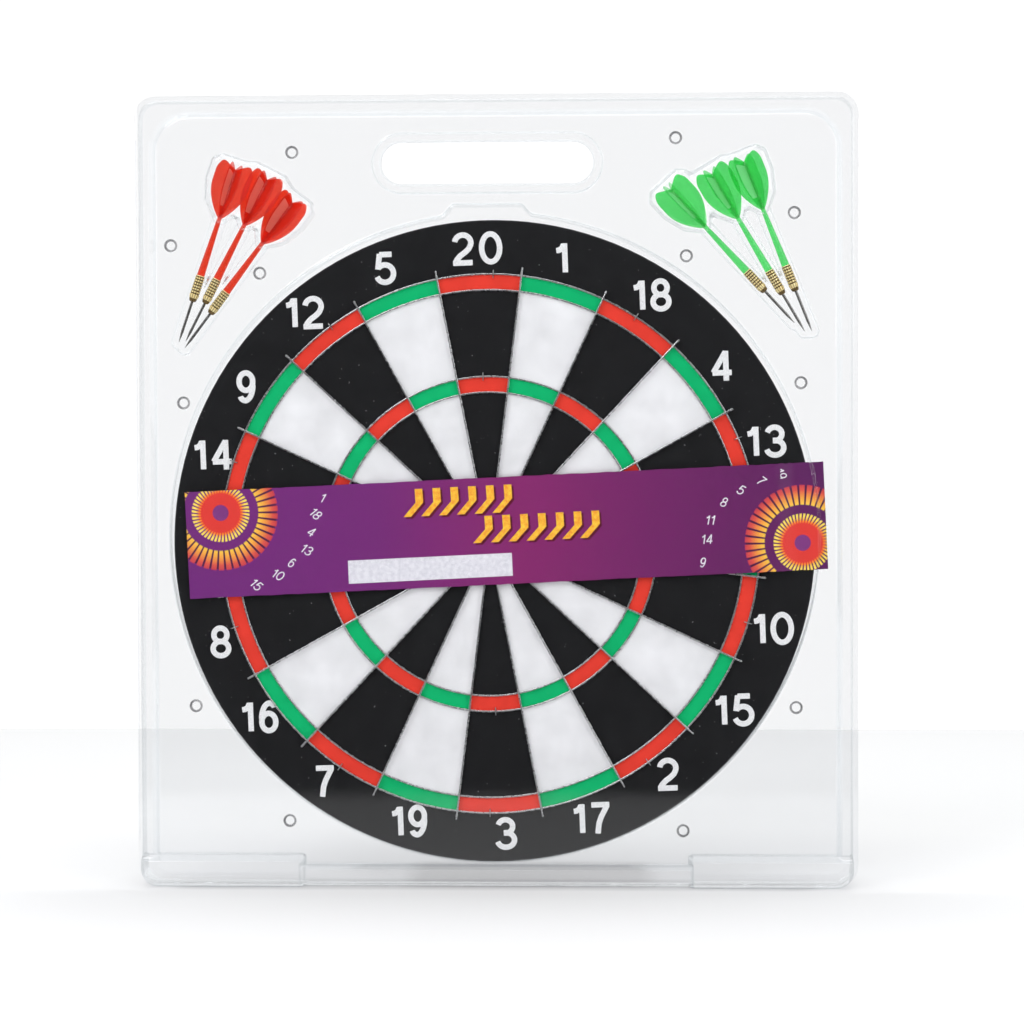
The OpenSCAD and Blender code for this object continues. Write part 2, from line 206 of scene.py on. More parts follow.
def print_on_flock(name, colour, fleck):
    """Printed, finely flocked paper: a nap of short fibres, mottled ink, and specks of lint."""
    s = Shader(name)
    nap = s.noise(1900, 4, roughness=0.7)
    mottle = s.noise(55, 4)
    shade = s.ramp(s.math("MULTIPLY_ADD", mottle, 0.6, s.math("MULTIPLY", nap, 0.4)),
                   [(0.3, 0.0), (0.7, 1.0)])
    light = tuple(min(1, c * 1.1 + 0.002) for c in colour[:3]) + (1,)
    ink = s.blend(shade, scaled(colour, 0.86), light)
    lint = s.ramp(s.noise(420, 2, roughness=0.6), [(0.73, 0.0), (0.77, 1.0)])
    ink = s.blend(s.math("MULTIPLY", lint, fleck), ink, (0.55, 0.55, 0.56, 1))
    return s.principled(ink, 0.72, s.bump(nap, 0.45, 0.14), Specular_IOR_Level=0.12)


def steel(name, colour, roughness):
    """Drawn steel with faint dull patches."""
    s = Shader(name)
    patch = s.noise(300, 3)
    rough = s.ramp(patch, [(0.3, roughness * 0.8), (0.75, roughness * 1.5)])
    tone = s.blend(patch, scaled(colour, 0.85), colour)
    return s.principled(tone, rough, s.bump(s.noise(2500, 2), 0.15, 0.03), Metallic=1.0)


def brass(name, low, high, rough_low, rough_high):
    """Turned brass, a little uneven in colour and polish."""
    s = Shader(name)
    patch = s.noise(500, 4)
    tone = s.ramp(patch, [(0.3, low), (0.7, high)])
    rough = s.ramp(patch, [(0.3, rough_high), (0.75, rough_low)])
    return s.principled(tone, rough, s.bump(s.noise(3000, 2), 0.2, 0.03), Metallic=0.2)


def translucent_plastic(name, solid, clear, share):
    """Moulded plastic that lets light through, with flow marks from the mould and a glancing shine."""
    s = Shader(name)
    flow = s.ramp(s.noise(70, 3), [(0.3, 0.0), (0.7, 1.0)])
    tone = s.blend(flow, scaled(solid, 0.9), solid)
    tint = s.blend(flow, scaled(clear, 0.94), clear)
    normal = s.bump(s.noise(220, 3), 0.25, 0.12)
    skin = s.add("BsdfDiffuse", {"Color": tone, "Normal": normal}).outputs[0]
    glow = s.add("BsdfTranslucent", {"Color": tone}).outputs[0]
    through = s.add("BsdfTransparent", {"Color": tint}).outputs[0]
    inside = s.mix(share, through, s.mix(0.5, skin, glow))
    facing = s.add("LayerWeight", {"Blend": 0.5, "Normal": normal}).outputs["Facing"]
    shine = s.math("MULTIPLY_ADD", s.math("POWER", facing, 3.0), 0.8, 0.04)
    return s.finish(s.mix(shine, inside, s.gloss(0.12, normal)))


def card_edge_paper(name, light, dark, scale):
    """Wound or pressed paper: fine layers with darker gaps."""
    s = Shader(name)
    fibre = s.noise(scale, 5, roughness=0.65)
    tone = s.blend(s.ramp(fibre, [(0.3, 0.0), (0.7, 1.0)]), dark, light)
    return s.principled(tone, 0.8, s.bump(fibre, 0.5, 0.12), Specular_IOR_Level=0.25)


def foil_print():
    """Silver-white blocked foil with a fine grain."""
    s = Shader("foil_print")
    grain = s.noise(900, 4, roughness=0.7)
    tone = s.ramp(grain, [(0.3, srgb(222, 222, 223)), (0.7, srgb(250, 250, 251))])
    return s.principled(tone, 0.42, s.bump(grain, 0.35, 0.08), Metallic=0.05)


def flat_ink(name, light, dark, roughness=0.3):
    """Ink on coated card, slightly uneven."""
    s = Shader(name)
    grain = s.noise(350, 3)
    tone = s.blend(s.ramp(grain, [(0.35, 0.0), (0.65, 1.0)]), dark, light)
    return s.principled(tone, roughness, s.bump(grain, 0.1, 0.02))


def label_to_plan(x, z):
    """The label's own (along, up) measure of a point in the front view."""
    dx, dz = x - LABEL[0], z - LABEL[1]
    c, t = math.cos(LABEL_TILT), math.sin(LABEL_TILT)
    return dx * c + dz * t, dz * c - dx * t


SUNBURSTS = [label_to_plan(-185.6, 251.5), label_to_plan(205.9, 230.8)]


def sunburst(s, ink, along, up, centre):
    """The ink with rings and rays added about a centre in the label's plan, by radii in mm."""
    du = s.math("SUBTRACT", along, centre[0])
    dv = s.math("SUBTRACT", up, centre[1])
    radius = s.math("SQRT", s.math("ADD", s.math("MULTIPLY", du, du), s.math("MULTIPLY", dv, dv)))
    turn = s.math("ARCTAN2", dv, du)

    def band(inner, outer, soft=0.25):
        rise = s.add("MapRange", {"Value": radius, "From Min": inner - soft, "From Max": inner + soft})
        fall = s.add("MapRange", {"Value": radius, "From Min": outer - soft, "From Max": outer + soft,
                                  "To Min": 1.0, "To Max": 0.0})
        return s.math("MULTIPLY", rise.outputs[0], fall.outputs[0])

    def rays(count, twist, low, high):
        phase = s.math("ADD", s.math("MULTIPLY", turn, count), s.math("MULTIPLY", radius, twist))
        wave = s.math("MULTIPLY_ADD", s.math("SINE", phase), 0.5, 0.5)
        return s.add("MapRange", {"Value": wave, "From Min": low, "From Max": high}).outputs[0]

    far = s.ramp(s.math("DIVIDE", radius, 40.0),
                 [(0.62, srgb(255, 214, 70)), (0.76, srgb(244, 160, 60)), (0.88, srgb(226, 84, 66)),
                  (0.98, srgb(200, 44, 74))])
    near = s.ramp(s.math("DIVIDE", radius, 20.0),
                  [(0.62, srgb(236, 60, 40)), (0.74, srgb(250, 150, 40)), (0.86, srgb(255, 226, 90))])
    outer_rays = s.math("MULTIPLY", band(25.6, 38.8, 0.35), rays(46, 0.0, 0.12, 0.3))
    inner_rays = s.math("MULTIPLY", band(13.4, 19.6), rays(48, 0.35, 0.3, 0.42))
    ink = s.blend(band(25.6, 38.0), ink, srgb(84, 20, 70))
    ink = s.blend(outer_rays, ink, far)
    ink = s.blend(band(5.0, 15.0), ink, srgb(228, 50, 40))
    ink = s.blend(inner_rays, ink, near)
    return s.blend(band(-1.0, 5.4), ink, srgb(128, 50, 130))


def label_card():
    """Coated card in purple with a magenta glow and two sunbursts, drawn in the label's own plan."""
    s = Shader("label_card")
    plan = s.add("Attribute", attribute_name="plan").outputs["Vector"]
    split = s.add("SeparateXYZ", {0: plan})
    along, up = split.outputs["X"], split.outputs["Y"]
    glow = s.ramp(s.math("MULTIPLY_ADD", along, 1 / LABEL_L, 0.5),
                  [(0.0, srgb(118, 28, 126)), (0.3, srgb(122, 26, 122)), (0.52, srgb(142, 20, 108)),
                   (0.72, srgb(120, 16, 102)), (1.0, srgb(92, 12, 92))])
    cloud = s.noise(18, 3)
    ink = s.blend(s.math("MULTIPLY", cloud, 0.25), glow, srgb(92, 26, 96))
    for centre in SUNBURSTS:
        ink = sunburst(s, ink, along, up, centre)
    fibre = s.noise(700, 4)
    ink = s.blend(s.math("MULTIPLY", fibre, 0.02), ink, (0.9, 0.9, 0.9, 1))
    return s.principled(ink, 0.3, s.bump(fibre, 0.12, 0.05))


BLACK_INK, WHITE_INK = srgb(27, 27, 29), srgb(233, 232, 234)
RED_INK, GREEN_INK = srgb(232, 62, 48), srgb(0, 182, 110)
M = {
    "clear": clear_plastic("clear_plastic", SHEET_TINT),
    # The ring round each press button, painted darker edge on as shade.
    "button": clear_plastic("clear_plastic_button_shade", BUTTON_SHADE_TINT),
    "black": print_on_flock("print_black", BLACK_INK, 0.35),
    "white": print_on_flock("print_white", WHITE_INK, 0.0),
    "red": print_on_flock("print_red", RED_INK, 0.05),
    "green": print_on_flock("print_green", GREEN_INK, 0.05),
    "foil": foil_print(),
    "wire": steel("wire_steel", (0.74, 0.74, 0.75, 1), 0.24),
    "staple": steel("staple_steel", (0.60, 0.60, 0.61, 1), 0.3),
    "hanger": steel("hanger_steel", (0.55, 0.55, 0.56, 1), 0.35),
    "point": steel("point_steel", (0.42, 0.41, 0.40, 1), 0.2),
    "brass": brass("brass", (0.92, 0.68, 0.27, 1), (1.0, 0.88, 0.50, 1), 0.2, 0.32),
    # Darker brass for the grooves and the nose's tip: painted shade.
    "brass_painted_shade": brass("brass_painted_shade", (0.09, 0.055, 0.015, 1), (0.2, 0.125, 0.035, 1),
                          0.45, 0.6),
    "red_plastic": translucent_plastic("red_plastic", (0.95, 0.052, 0.018, 1),
                                       (0.97, 0.30, 0.19, 1), 0.34),
    "green_plastic": translucent_plastic("green_plastic", (0.12, 0.84, 0.25, 1),
                                         (0.42, 0.95, 0.50, 1), 0.26),
    # Paler copies of the flight plastics: a painted highlight on one vane of each flight.
    "red_painted_glint": translucent_plastic("red_painted_glint", (0.95, 0.42, 0.34, 1), (0.98, 0.62, 0.55, 1), 0.5),
    "green_painted_glint": translucent_plastic("green_painted_glint", (0.50, 0.95, 0.58, 1), (0.72, 0.98, 0.76, 1), 0.45),
    "core": card_edge_paper("wound_paper", srgb(196, 172, 138), srgb(150, 122, 90), 900),
    "band": card_edge_paper("edge_band", srgb(62, 62, 64), srgb(26, 26, 28), 1200),
    "back": card_edge_paper("back_sheet", srgb(70, 70, 73), srgb(40, 40, 43), 1400),
    "label": label_card(),
    "gold": flat_ink("gold_ink", srgb(255, 208, 60), srgb(246, 160, 44)),
    "shadow": flat_ink("shadow_ink", srgb(112, 20, 50), srgb(86, 14, 44)),
    "white_ink": flat_ink("white_ink", srgb(240, 236, 242), srgb(220, 214, 224)),
    "sticker": flat_ink("sticker_paper", srgb(232, 230, 236), srgb(214, 212, 220), 0.55),
}


# ---- meshes -----------------------------------------------------------------------------

def piece(name, points, faces, body, materials, face_material=None, normals=None, sharp=35,
          replaces=()):
    """A mesh piece, from points in millimetres, that rides on a body. normals are one per point."""
    mesh = bpy.data.meshes.new(name)
    mesh.from_pydata((np.asarray(points, float) * MM).tolist(), [], [tuple(f) for f in faces])
    for m in materials:
        mesh.materials.append(M[m])
    if face_material is not None:
        mesh.polygons.foreach_set("material_index", np.asarray(face_material, np.int32))
    mesh.polygons.foreach_set("use_smooth", np.ones(len(mesh.polygons), bool))
    mesh.validate()
    mesh.update()
    if normals is not None:
        mesh.normals_split_custom_set_from_vertices(np.asarray(normals, float).tolist())
    else:
        mesh.set_sharp_from_angle(angle=math.radians(sharp))
    made = bpy.data.objects.new(name, mesh)
    bpy.context.scene.collection.objects.link(made)
    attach(made, body)
    if replaces:
        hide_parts(*replaces)
    return made


class Parts:
    """Points, faces and the faces' kinds, gathered for one piece."""

    def __init__(self):
        self.points, self.faces, self.kinds = [], [], []

    def add(self, points, faces, kinds=None):
        start = len(self.points)
        self.points.extend(tuple(map(float, p)) for p in points)
        self.faces.extend(tuple(start + i for i in f) for f in faces)
        self.kinds.extend(kinds or [0] * len(faces))


def tube(path, radius, sides, closed=False):
    """A round rod along a path of 3-D points, with domed ends or closed on itself."""
    path = [Vector(p) for p in path]
    rings = []
    count = len(path)
    for i, p in enumerate(path):
        ahead = path[(i + 1) % count] if closed or i < count - 1 else p
        behind = path[i - 1] if closed or i > 0 else p
        rings.append((p, (ahead - behind).normalized(), radius))
    if not closed:
        domes = [0.12, 0.62, 0.92]
        first, last = rings[0], rings[-1]
        rings = ([(first[0] - first[1] * radius * math.cos(math.asin(s)), first[1], radius * s)
                  for s in domes] + rings
                 + [(last[0] + last[1] * radius * math.cos(math.asin(s)), last[1], radius * s)
                    for s in reversed(domes)])
    side = rings[0][1].orthogonal().normalized()
    points = []
    for centre, direction, r in rings:
        side = (side - direction * side.dot(direction)).normalized()
        other = direction.cross(side)
        for k in range(sides):
            a = 2 * math.pi * k / sides
            points.append(centre + (side * math.cos(a) + other * math.sin(a)) * r)
    return points, ring_faces(len(rings), sides, closed)


def triangulate(lines, loose, epsilon, kept):
    """Points and triangles between level lines, all wound one way. kept(middles) says which stay."""
    verts, edges = list(loose), []
    for points, joins in lines:
        edges += [(len(verts) + a, len(verts) + b) for a, b in joins]
        verts += points
    out = delaunay_2d_cdt([Vector(v) for v in verts], edges, [], 0, epsilon, False)
    p = np.array([tuple(v) for v in out[0]])
    faces = np.array([tuple(f) for f in out[2]])
    faces = faces[kept(p[faces].mean(1))]
    used = np.unique(faces)
    renumber = np.full(len(p), -1)
    renumber[used] = np.arange(len(used))
    p, faces = p[used], renumber[faces]
    a, b, c = (p[faces[:, i]] for i in range(3))
    turn = (b - a)[:, 0] * (c - a)[:, 1] - (b - a)[:, 1] * (c - a)[:, 0]
    faces[turn < 0] = faces[turn < 0][:, ::-1]
    return p, faces


def closed_skin(faces, n):
    """Faces, the same ones turned over and n points on, and the rim that joins them."""
    faces = [tuple(map(int, f)) for f in faces]
    known = {edge for f in faces for edge in zip(f, f[1:] + f[:1])}
    rim = sorted((a, b) for a, b in known if (b, a) not in known)
    return (faces + [tuple(i + n for i in f[::-1]) for f in faces]
            + [(b, a, a + n, b + n) for a, b in rim])


def grid_skin(rows, cols):
    """The closed skin of a thin slab whose two sides are grids of rows by cols points."""
    grid = [(i * cols + j, i * cols + j + 1, (i + 1) * cols + j + 1, (i + 1) * cols + j)
            for i in range(rows - 1) for j in range(cols - 1)]
    return closed_skin(grid, rows * cols)


def ring_faces(count, sides, closed=False):
    """Faces of a stack of rings of points, capped at its ends or closed on itself."""
    faces = []
    for i in range(count if closed else count - 1):
        j = (i + 1) % count
        for k in range(sides):
            n = (k + 1) % sides
            faces.append((i * sides + k, i * sides + n, j * sides + n, j * sides + k))
    if not closed:
        faces.append(tuple(range(sides - 1, -1, -1)))
        faces.append(tuple((count - 1) * sides + k for k in range(sides)))
    return faces


def about_bull(radius, clockwise_degrees):
    """The (x, z) of a point on the printed pattern, by its radius and its angle from the 20."""
    a = math.radians(clockwise_degrees + SPIDER_TURN)
    return BULL[0] + radius * math.sin(a), BULL[1] + radius * math.cos(a)


# ---- the two formed sheets ----------------------------------------------------------------

FAR = 1e9
BARREL_POCKET_R, FLIGHT_POCKET_ROOM = 5.2, 4.4
DIMPLE_R, CUP_R = 3.9, 4.4
# How far from a press button's middle the sheet takes a darker tint: painted shade that draws the
# button walls as dark rings.
BUTTON_SHADE_RING = (2.6, 4.8)


def sd_rounded_box(p, x0, x1, z0, z1, r_top, r_foot):
    """Signed distance to an upright rounded box, below zero inside."""
    centre = np.array([(x0 + x1) / 2, (z0 + z1) / 2])
    half = np.array([(x1 - x0) / 2, (z1 - z0) / 2])
    q = p - centre
    r = np.where(q[:, 1] > 0, r_top, r_foot)
    e = np.abs(q) - half + r[:, None]
    return np.hypot(*np.maximum(e, 0).T) + np.minimum(e.max(1), 0) - r


def sd_segment(p, a, b):
    a, b = np.asarray(a, float), np.asarray(b, float)
    t = np.clip((p - a) @ (b - a) / ((b - a) @ (b - a)), 0, 1)
    return np.hypot(*(p - a - t[:, None] * (b - a)).T)


def sd_polygon(p, corners):
    corners = np.asarray(corners, float)
    inside = np.zeros(len(p), bool)
    nearest = np.full(len(p), FAR)
    for a, b in zip(corners, np.roll(corners, -1, 0)):
        nearest = np.minimum(nearest, sd_segment(p, a, b))
        crosses = (a[1] > p[:, 1]) != (b[1] > p[:, 1])
        rise = b[1] - a[1] if b[1] != a[1] else 1e-12
        inside ^= crosses & (p[:, 0] < a[0] + (b[0] - a[0]) * (p[:, 1] - a[1]) / rise)
    return np.where(inside, -nearest, nearest)


def smooth_min(a, b, k):
    h = np.clip(0.5 + 0.5 * (b - a) / k, 0, 1)
    return b + (a - b) * h - k * h * (1 - h)


def sd_border(p):
    half = HALF_W - FLANGE_W
    return sd_rounded_box(p, -half, half, 0, PACK_H - FLANGE_W, BORDER_R, BORDER_R)


BORDER_W = 14.5
PANEL = (-HALF_W + BORDER_W, HALF_W - BORDER_W, BORDER_W, PACK_H - BORDER_W, 22.0, 8.0)


def sd_panel_reversed(p):
    return -sd_rounded_box(p, *PANEL)


FOOT_X, FOOT_Z, FOOT_R = 129.0, 21.0, 3.0


def sd_feet(p):
    q = np.stack([FOOT_X - np.abs(p[:, 0]), p[:, 1] - FOOT_Z], 1) + FOOT_R
    return np.hypot(*np.maximum(q, 0).T) + np.minimum(q.max(1), 0) - FOOT_R


NOTCH = [(-40.3, 433.2), (-32.3, 449.5), (-27.3, 455.5), (16.7, 455.5), (21.7, 449.5), (29.7, 433.2)]
# Where contours are looked for: x0, x1, z0, z1.
NOTCH_BOX, DART_BOXES = (-48, 38, 430, 466), [(-226, -110, 350, 506), (95, 226, 350, 506)]


def sd_recess(p):
    disc = np.hypot(p[:, 0] - RECESS[0], p[:, 1] - RECESS[1]) - RECESS[2]
    return smooth_min(disc, sd_polygon(p, NOTCH) - 3.0, 2.0)


def dart_axis(dart, along, across=0.0):
    """The (x, z) of a point on a dart: along it from its point, and across it to the right."""
    x, z, lean = dart
    a = math.radians(lean)
    return (x + along * math.sin(a) + across * math.cos(a),
            z + along * math.cos(a) - across * math.sin(a))


def sd_barrel_pockets(p):
    found = np.full(len(p), FAR)
    for dart in DARTS["red"] + DARTS["green"]:
        axis = sd_segment(p, dart_axis(dart, 0), dart_axis(dart, DART_L - FLIGHT_L))
        found = smooth_min(found, axis - BARREL_POCKET_R, 1.5)
    return found


def sd_flight_pockets(p):
    start = DART_L - FLIGHT_L
    side = [(start + 10, 8.6), (start + 0.6 * FLIGHT_L, VANE_W - 1), (DART_L - 4, VANE_W - 1),
            (DART_L - 1, VANE_W - 4)]
    corners = [(start, 0)] + side + [(along, -across) for along, across in reversed(side)]
    found = np.full(len(p), FAR)
    for dart in DARTS["red"] + DARTS["green"]:
        outline = [dart_axis(dart, *corner) for corner in corners]
        found = smooth_min(found, sd_polygon(p, outline) - FLIGHT_POCKET_ROOM, 4.0)
    return found


def sd_rim(p):
    a, b = (HANDLE[0] - HANDLE_REACH, HANDLE[1]), (HANDLE[0] + HANDLE_REACH, HANDLE[1])
    return sd_segment(p, a, b) - HANDLE_HALF - RIM_W


def sd_slot_reversed(p):
    return -(sd_rim(p) + RIM_W)


def sd_snaps(p):
    return np.min([np.hypot(p[:, 0] - x, p[:, 1] - z) for x, z in SNAPS], 0)


def wall(low, high, at, run, r_low, r_high, steps=4):
    """Rows of distance, height and slope angle across a formed wall with rounded ends.

    The wall is high up to at - run, and low from at."""
    slope = math.atan2(high - low, run)
    cut = math.tan(slope / 2)
    rows = []
    for i in range(steps + 1):
        a = slope * i / steps
        d = at - run - r_high * cut + r_high * math.sin(a)
        rows.append((d, high - r_high * (1 - math.cos(a)), a))
    for i in range(steps + 1):
        a = slope * (1 - i / steps)
        d = at + r_low * cut - r_low * math.sin(a)
        rows.append((d, low + r_low * (1 - math.cos(a)), a))
    return np.array(rows)


def contour(field, level, box, pitch):
    """Points and edges of one level line of a distance field inside a box."""
    x0, x1, z0, z1 = box
    xs = np.arange(x0, x1 + pitch, pitch)
    zs = np.arange(z0, z1 + pitch, pitch)
    gx, gz = np.meshgrid(xs, zs)
    value = (field(np.stack([gx.ravel(), gz.ravel()], 1)) - level).reshape(gx.shape)
    value[np.abs(value) < 1e-7] = 1e-7
    points, edges, known = [], [], {}

    def crossing(i0, j0, i1, j1):
        key = (i0, j0, i1, j1)
        if key not in known:
            a, b = value[i0, j0], value[i1, j1]
            t = a / (a - b)
            known[key] = len(points)
            points.append((xs[j0] + (xs[j1] - xs[j0]) * t, zs[i0] + (zs[i1] - zs[i0]) * t))
        return known[key]

    inside = value < 0
    count = (inside[:-1, :-1].astype(int) + inside[1:, :-1] + inside[:-1, 1:] + inside[1:, 1:])
    for i, j in np.argwhere((count > 0) & (count < 4)):
        cell = [(i, j), (i, j + 1), (i + 1, j + 1), (i + 1, j)]
        hits = []
        for a, b in zip(cell, cell[1:] + cell[:1]):
            if inside[a] != inside[b]:
                hits.append(crossing(*min(a, b), *max(a, b)))
        for a, b in zip(hits[::2], hits[1::2]):
            edges.append((a, b))
    return points, edges


def loop(points):
    return points, [(i, (i + 1) % len(points)) for i in range(len(points))]


def line(points):
    return points, [(i, i + 1) for i in range(len(points) - 1)]


def along_line(a, b, pitch):
    n = max(1, round(math.dist(a, b) / pitch))
    return [(a[0] + (b[0] - a[0]) * i / n, a[1] + (b[1] - a[1]) * i / n) for i in range(n)]


def rounded_box_loop(x0, x1, z0, z1, r_top, r_foot, pitch=14.0, arc=14):
    """The outline of an upright rounded box, with its straight sides divided."""
    r_top, r_foot = max(r_top, 0.3), max(r_foot, 0.3)
    corners = [(x1 - r_foot, z0 + r_foot, r_foot, -90), (x1 - r_top, z1 - r_top, r_top, 0),
               (x0 + r_top, z1 - r_top, r_top, 90), (x0 + r_foot, z0 + r_foot, r_foot, 180)]
    turned = [[(cx + r * math.cos(math.radians(start + 90 * i / arc)),
                cz + r * math.sin(math.radians(start + 90 * i / arc))) for i in range(arc + 1)]
              for cx, cz, r, start in corners]
    points = []
    for corner, following in zip(turned, turned[1:] + turned[:1]):
        points += corner[:-1] + along_line(corner[-1], following[0], pitch)
    return loop(points)


def circle_loop(x, z, r, n):
    return loop([(x + r * math.cos(2 * math.pi * i / n), z + r * math.sin(2 * math.pi * i / n))
                 for i in range(n)])


def stadium_loop(r, n=28, pitch=6.0):
    x0, x1, z = HANDLE[0] - HANDLE_REACH, HANDLE[0] + HANDLE_REACH, HANDLE[1]
    right = [(x1 + r * math.sin(math.pi * i / n), z - r * math.cos(math.pi * i / n)) for i in range(n)]
    left = [(x0 - r * math.sin(math.pi * i / n), z + r * math.cos(math.pi * i / n)) for i in range(n)]
    return loop(right + along_line((x1, z + r), (x0, z + r), pitch)
                + left + along_line((x0, z - r), (x1, z - r), pitch))


def foot_line(side, d):
    """The level line of one foot's inner and upper edge, d outside it."""
    r = FOOT_R + d
    x, z = FOOT_X + FOOT_R, FOOT_Z - FOOT_R
    if r > 0.2:
        bend = [(x - r * math.cos(math.radians(a)), z + r * math.sin(math.radians(a)))
                for a in range(0, 91, 10)]
    else:
        bend = [(x - r, z + r)]
    low = along_line((bend[0][0], -1.0), bend[0], 4.0)
    high = along_line(bend[-1], (HALF_W, bend[-1][1]), 8.0) + [(HALF_W, bend[-1][1])]
    return line([(side * px, pz) for px, pz in low + bend[:-1] + high])


def sheet_walls(recess_depth, recess_run, front):
    """The raised and the carved features of a half of the pack, and all their level lines.

    A feature is a list of (distance field, wall rows), and stands as high as the lowest of them."""
    # Each wall's run and then the radii of its lower and its upper bend follow its place.
    outer = wall(WEB_FACE, BORDER_D, 0.0, 0.35, 0.8, 1.2)
    outer_foot = wall(WEB_FACE, FOOT_D, 0.0, 0.35, 0.8, 1.2)
    inner = wall(WEB_FACE, BORDER_D, 0.0, 3.4, 1.6, 0.9)
    foot = wall(WEB_FACE, FOOT_D, 0.0, 3.2, 1.2, 1.2)
    recess = wall(WEB_FACE, recess_depth, 0.6, recess_run, 1.0, 1.4)
    barrel = wall(WEB_FACE, BARREL_POCKET_D, 0.0, 0.7, 0.6, 1.8)
    flight = wall(WEB_FACE, FLIGHT_POCKET_D, 0.0, 1.2, 0.8, 5.0, 6)
    rim_out = wall(WEB_FACE, RIM_D, 0.0, 0.9, 0.7, 1.1)
    rim_in = wall(WEB_FACE + 0.1, RIM_D, -0.1, 0.9, 0.3, 1.1)
    raised = [[(sd_border, outer), (sd_panel_reversed, inner)],
              [(sd_border, outer_foot), (sd_feet, foot)],
              [(sd_recess, recess)],
              [(sd_barrel_pockets, barrel)],
              [(sd_flight_pockets, flight)],
              [(sd_rim, rim_out), (sd_slot_reversed, rim_in)]]
    if front:
        dimple = wall(-2.0, WEB_FACE, 1.0, 0.9, 0.5, 0.5, 3)
        carved = [(lambda p: DIMPLE_R - sd_snaps(p), dimple)]
        snap_radii = [DIMPLE_R - d for d in dimple[:, 0]]
    else:
        cup = wall(WEB_FACE, 4.0, 0.0, 0.9, 0.6, 0.8, 3)
        raised.append([(lambda p: sd_snaps(p) - CUP_R, cup)])
        carved = []
        snap_radii = [CUP_R + d for d in cup[:, 0]]
    lines = [rounded_box_loop(-HALF_W + FLANGE_W - d, HALF_W - FLANGE_W + d, max(-d, 0.001),
                              PACK_H - FLANGE_W + d, BORDER_R + d, BORDER_R + d)
             for d in sorted({*outer[:, 0], *outer_foot[:, 0]})]
    lines += [rounded_box_loop(PANEL[0] + d, PANEL[1] - d, PANEL[2] + d, PANEL[3] - d,
                               PANEL[4] - d, PANEL[5] - d) for d in inner[:, 0]]
    lines += [foot_line(side, d) for side in (-1, 1) for d in foot[:, 0]]
    lines += [circle_loop(RECESS[0], RECESS[1], RECESS[2] + d, 300) for d in recess[:, 0]]
    lines += [contour(sd_recess, d, NOTCH_BOX, 1.3) for d in recess[:, 0]]
    for darts, rows in ((sd_barrel_pockets, barrel), (sd_flight_pockets, flight)):
        lines += [contour(darts, d, box, 1.25) for box in DART_BOXES for d in rows[:, 0]]
    lines += [stadium_loop(HANDLE_HALF + RIM_W + d) for d in rim_out[:, 0]]
    lines += [stadium_loop(HANDLE_HALF - d) for d in rim_in[:, 0] if d < -0.05]
    lines += [circle_loop(x, z, r, 28) for x, z in SNAPS for r in snap_radii]
    return raised, carved, lines


def height_and_normal(p, raised, carved):
    """Height of the sheet's outer face above the parting plane, and its normal as (x, out, z)."""
    step = 0.02

    def half(field, rows):
        d = field(p)
        grad = np.stack([field(p + [step, 0]) - field(p - [step, 0]),
                         field(p + [0, step]) - field(p - [0, step])], 1)
        length = np.maximum(np.hypot(*grad.T), 1e-9)
        angle = np.interp(d, rows[:, 0], rows[:, 2], left=0, right=0)
        return np.interp(d, rows[:, 0], rows[:, 1]), angle, grad / length[:, None]

    height = np.full(len(p), WEB_FACE)
    angle = np.zeros(len(p))
    slope = np.zeros((len(p), 2))
    for feature in raised:
        h, a, g = half(*feature[0])
        for other in feature[1:]:
            h2, a2, g2 = half(*other)
            lower = h2 < h
            h, a = np.where(lower, h2, h), np.where(lower, a2, a)
            g = np.where(lower[:, None], g2, g)
        over = h > height
        height, angle = np.where(over, h, height), np.where(over, a, angle)
        slope = np.where(over[:, None], g, slope)
    for feature in carved:
        h, a, g = half(*feature)
        under = h < WEB_FACE - 1e-6
        height, angle = np.where(under, h, height), np.where(under, a, angle)
        slope = np.where(under[:, None], g, slope)
    normal = np.stack([np.sin(angle) * slope[:, 0], np.cos(angle), np.sin(angle) * slope[:, 1]], 1)
    return height, normal


def pack_outline(front):
    """Outer edge of one half, with room for the fold along the left side."""
    points, _ = rounded_box_loop(-HALF_W, HALF_W, 0, PACK_H, CORNER_R, CORNER_R)
    if front:
        return [(max(x, LID_LEFT), z) for x, z in points]
    kept = [(x, z) for x, z in points if x > FOLD_X + 0.001 or z < FOLD_Z0 - 2 or z > FOLD_Z1 + 2]
    at = next(i for i, (x, z) in enumerate(kept) if x < 0 and z < 100 and kept[i - 1][1] > 400)
    notch = [(-HALF_W, FOLD_Z1), (FOLD_X, FOLD_Z1), (FOLD_X, FOLD_Z0), (-HALF_W, FOLD_Z0)]
    return kept[:at] + notch + kept[at:]


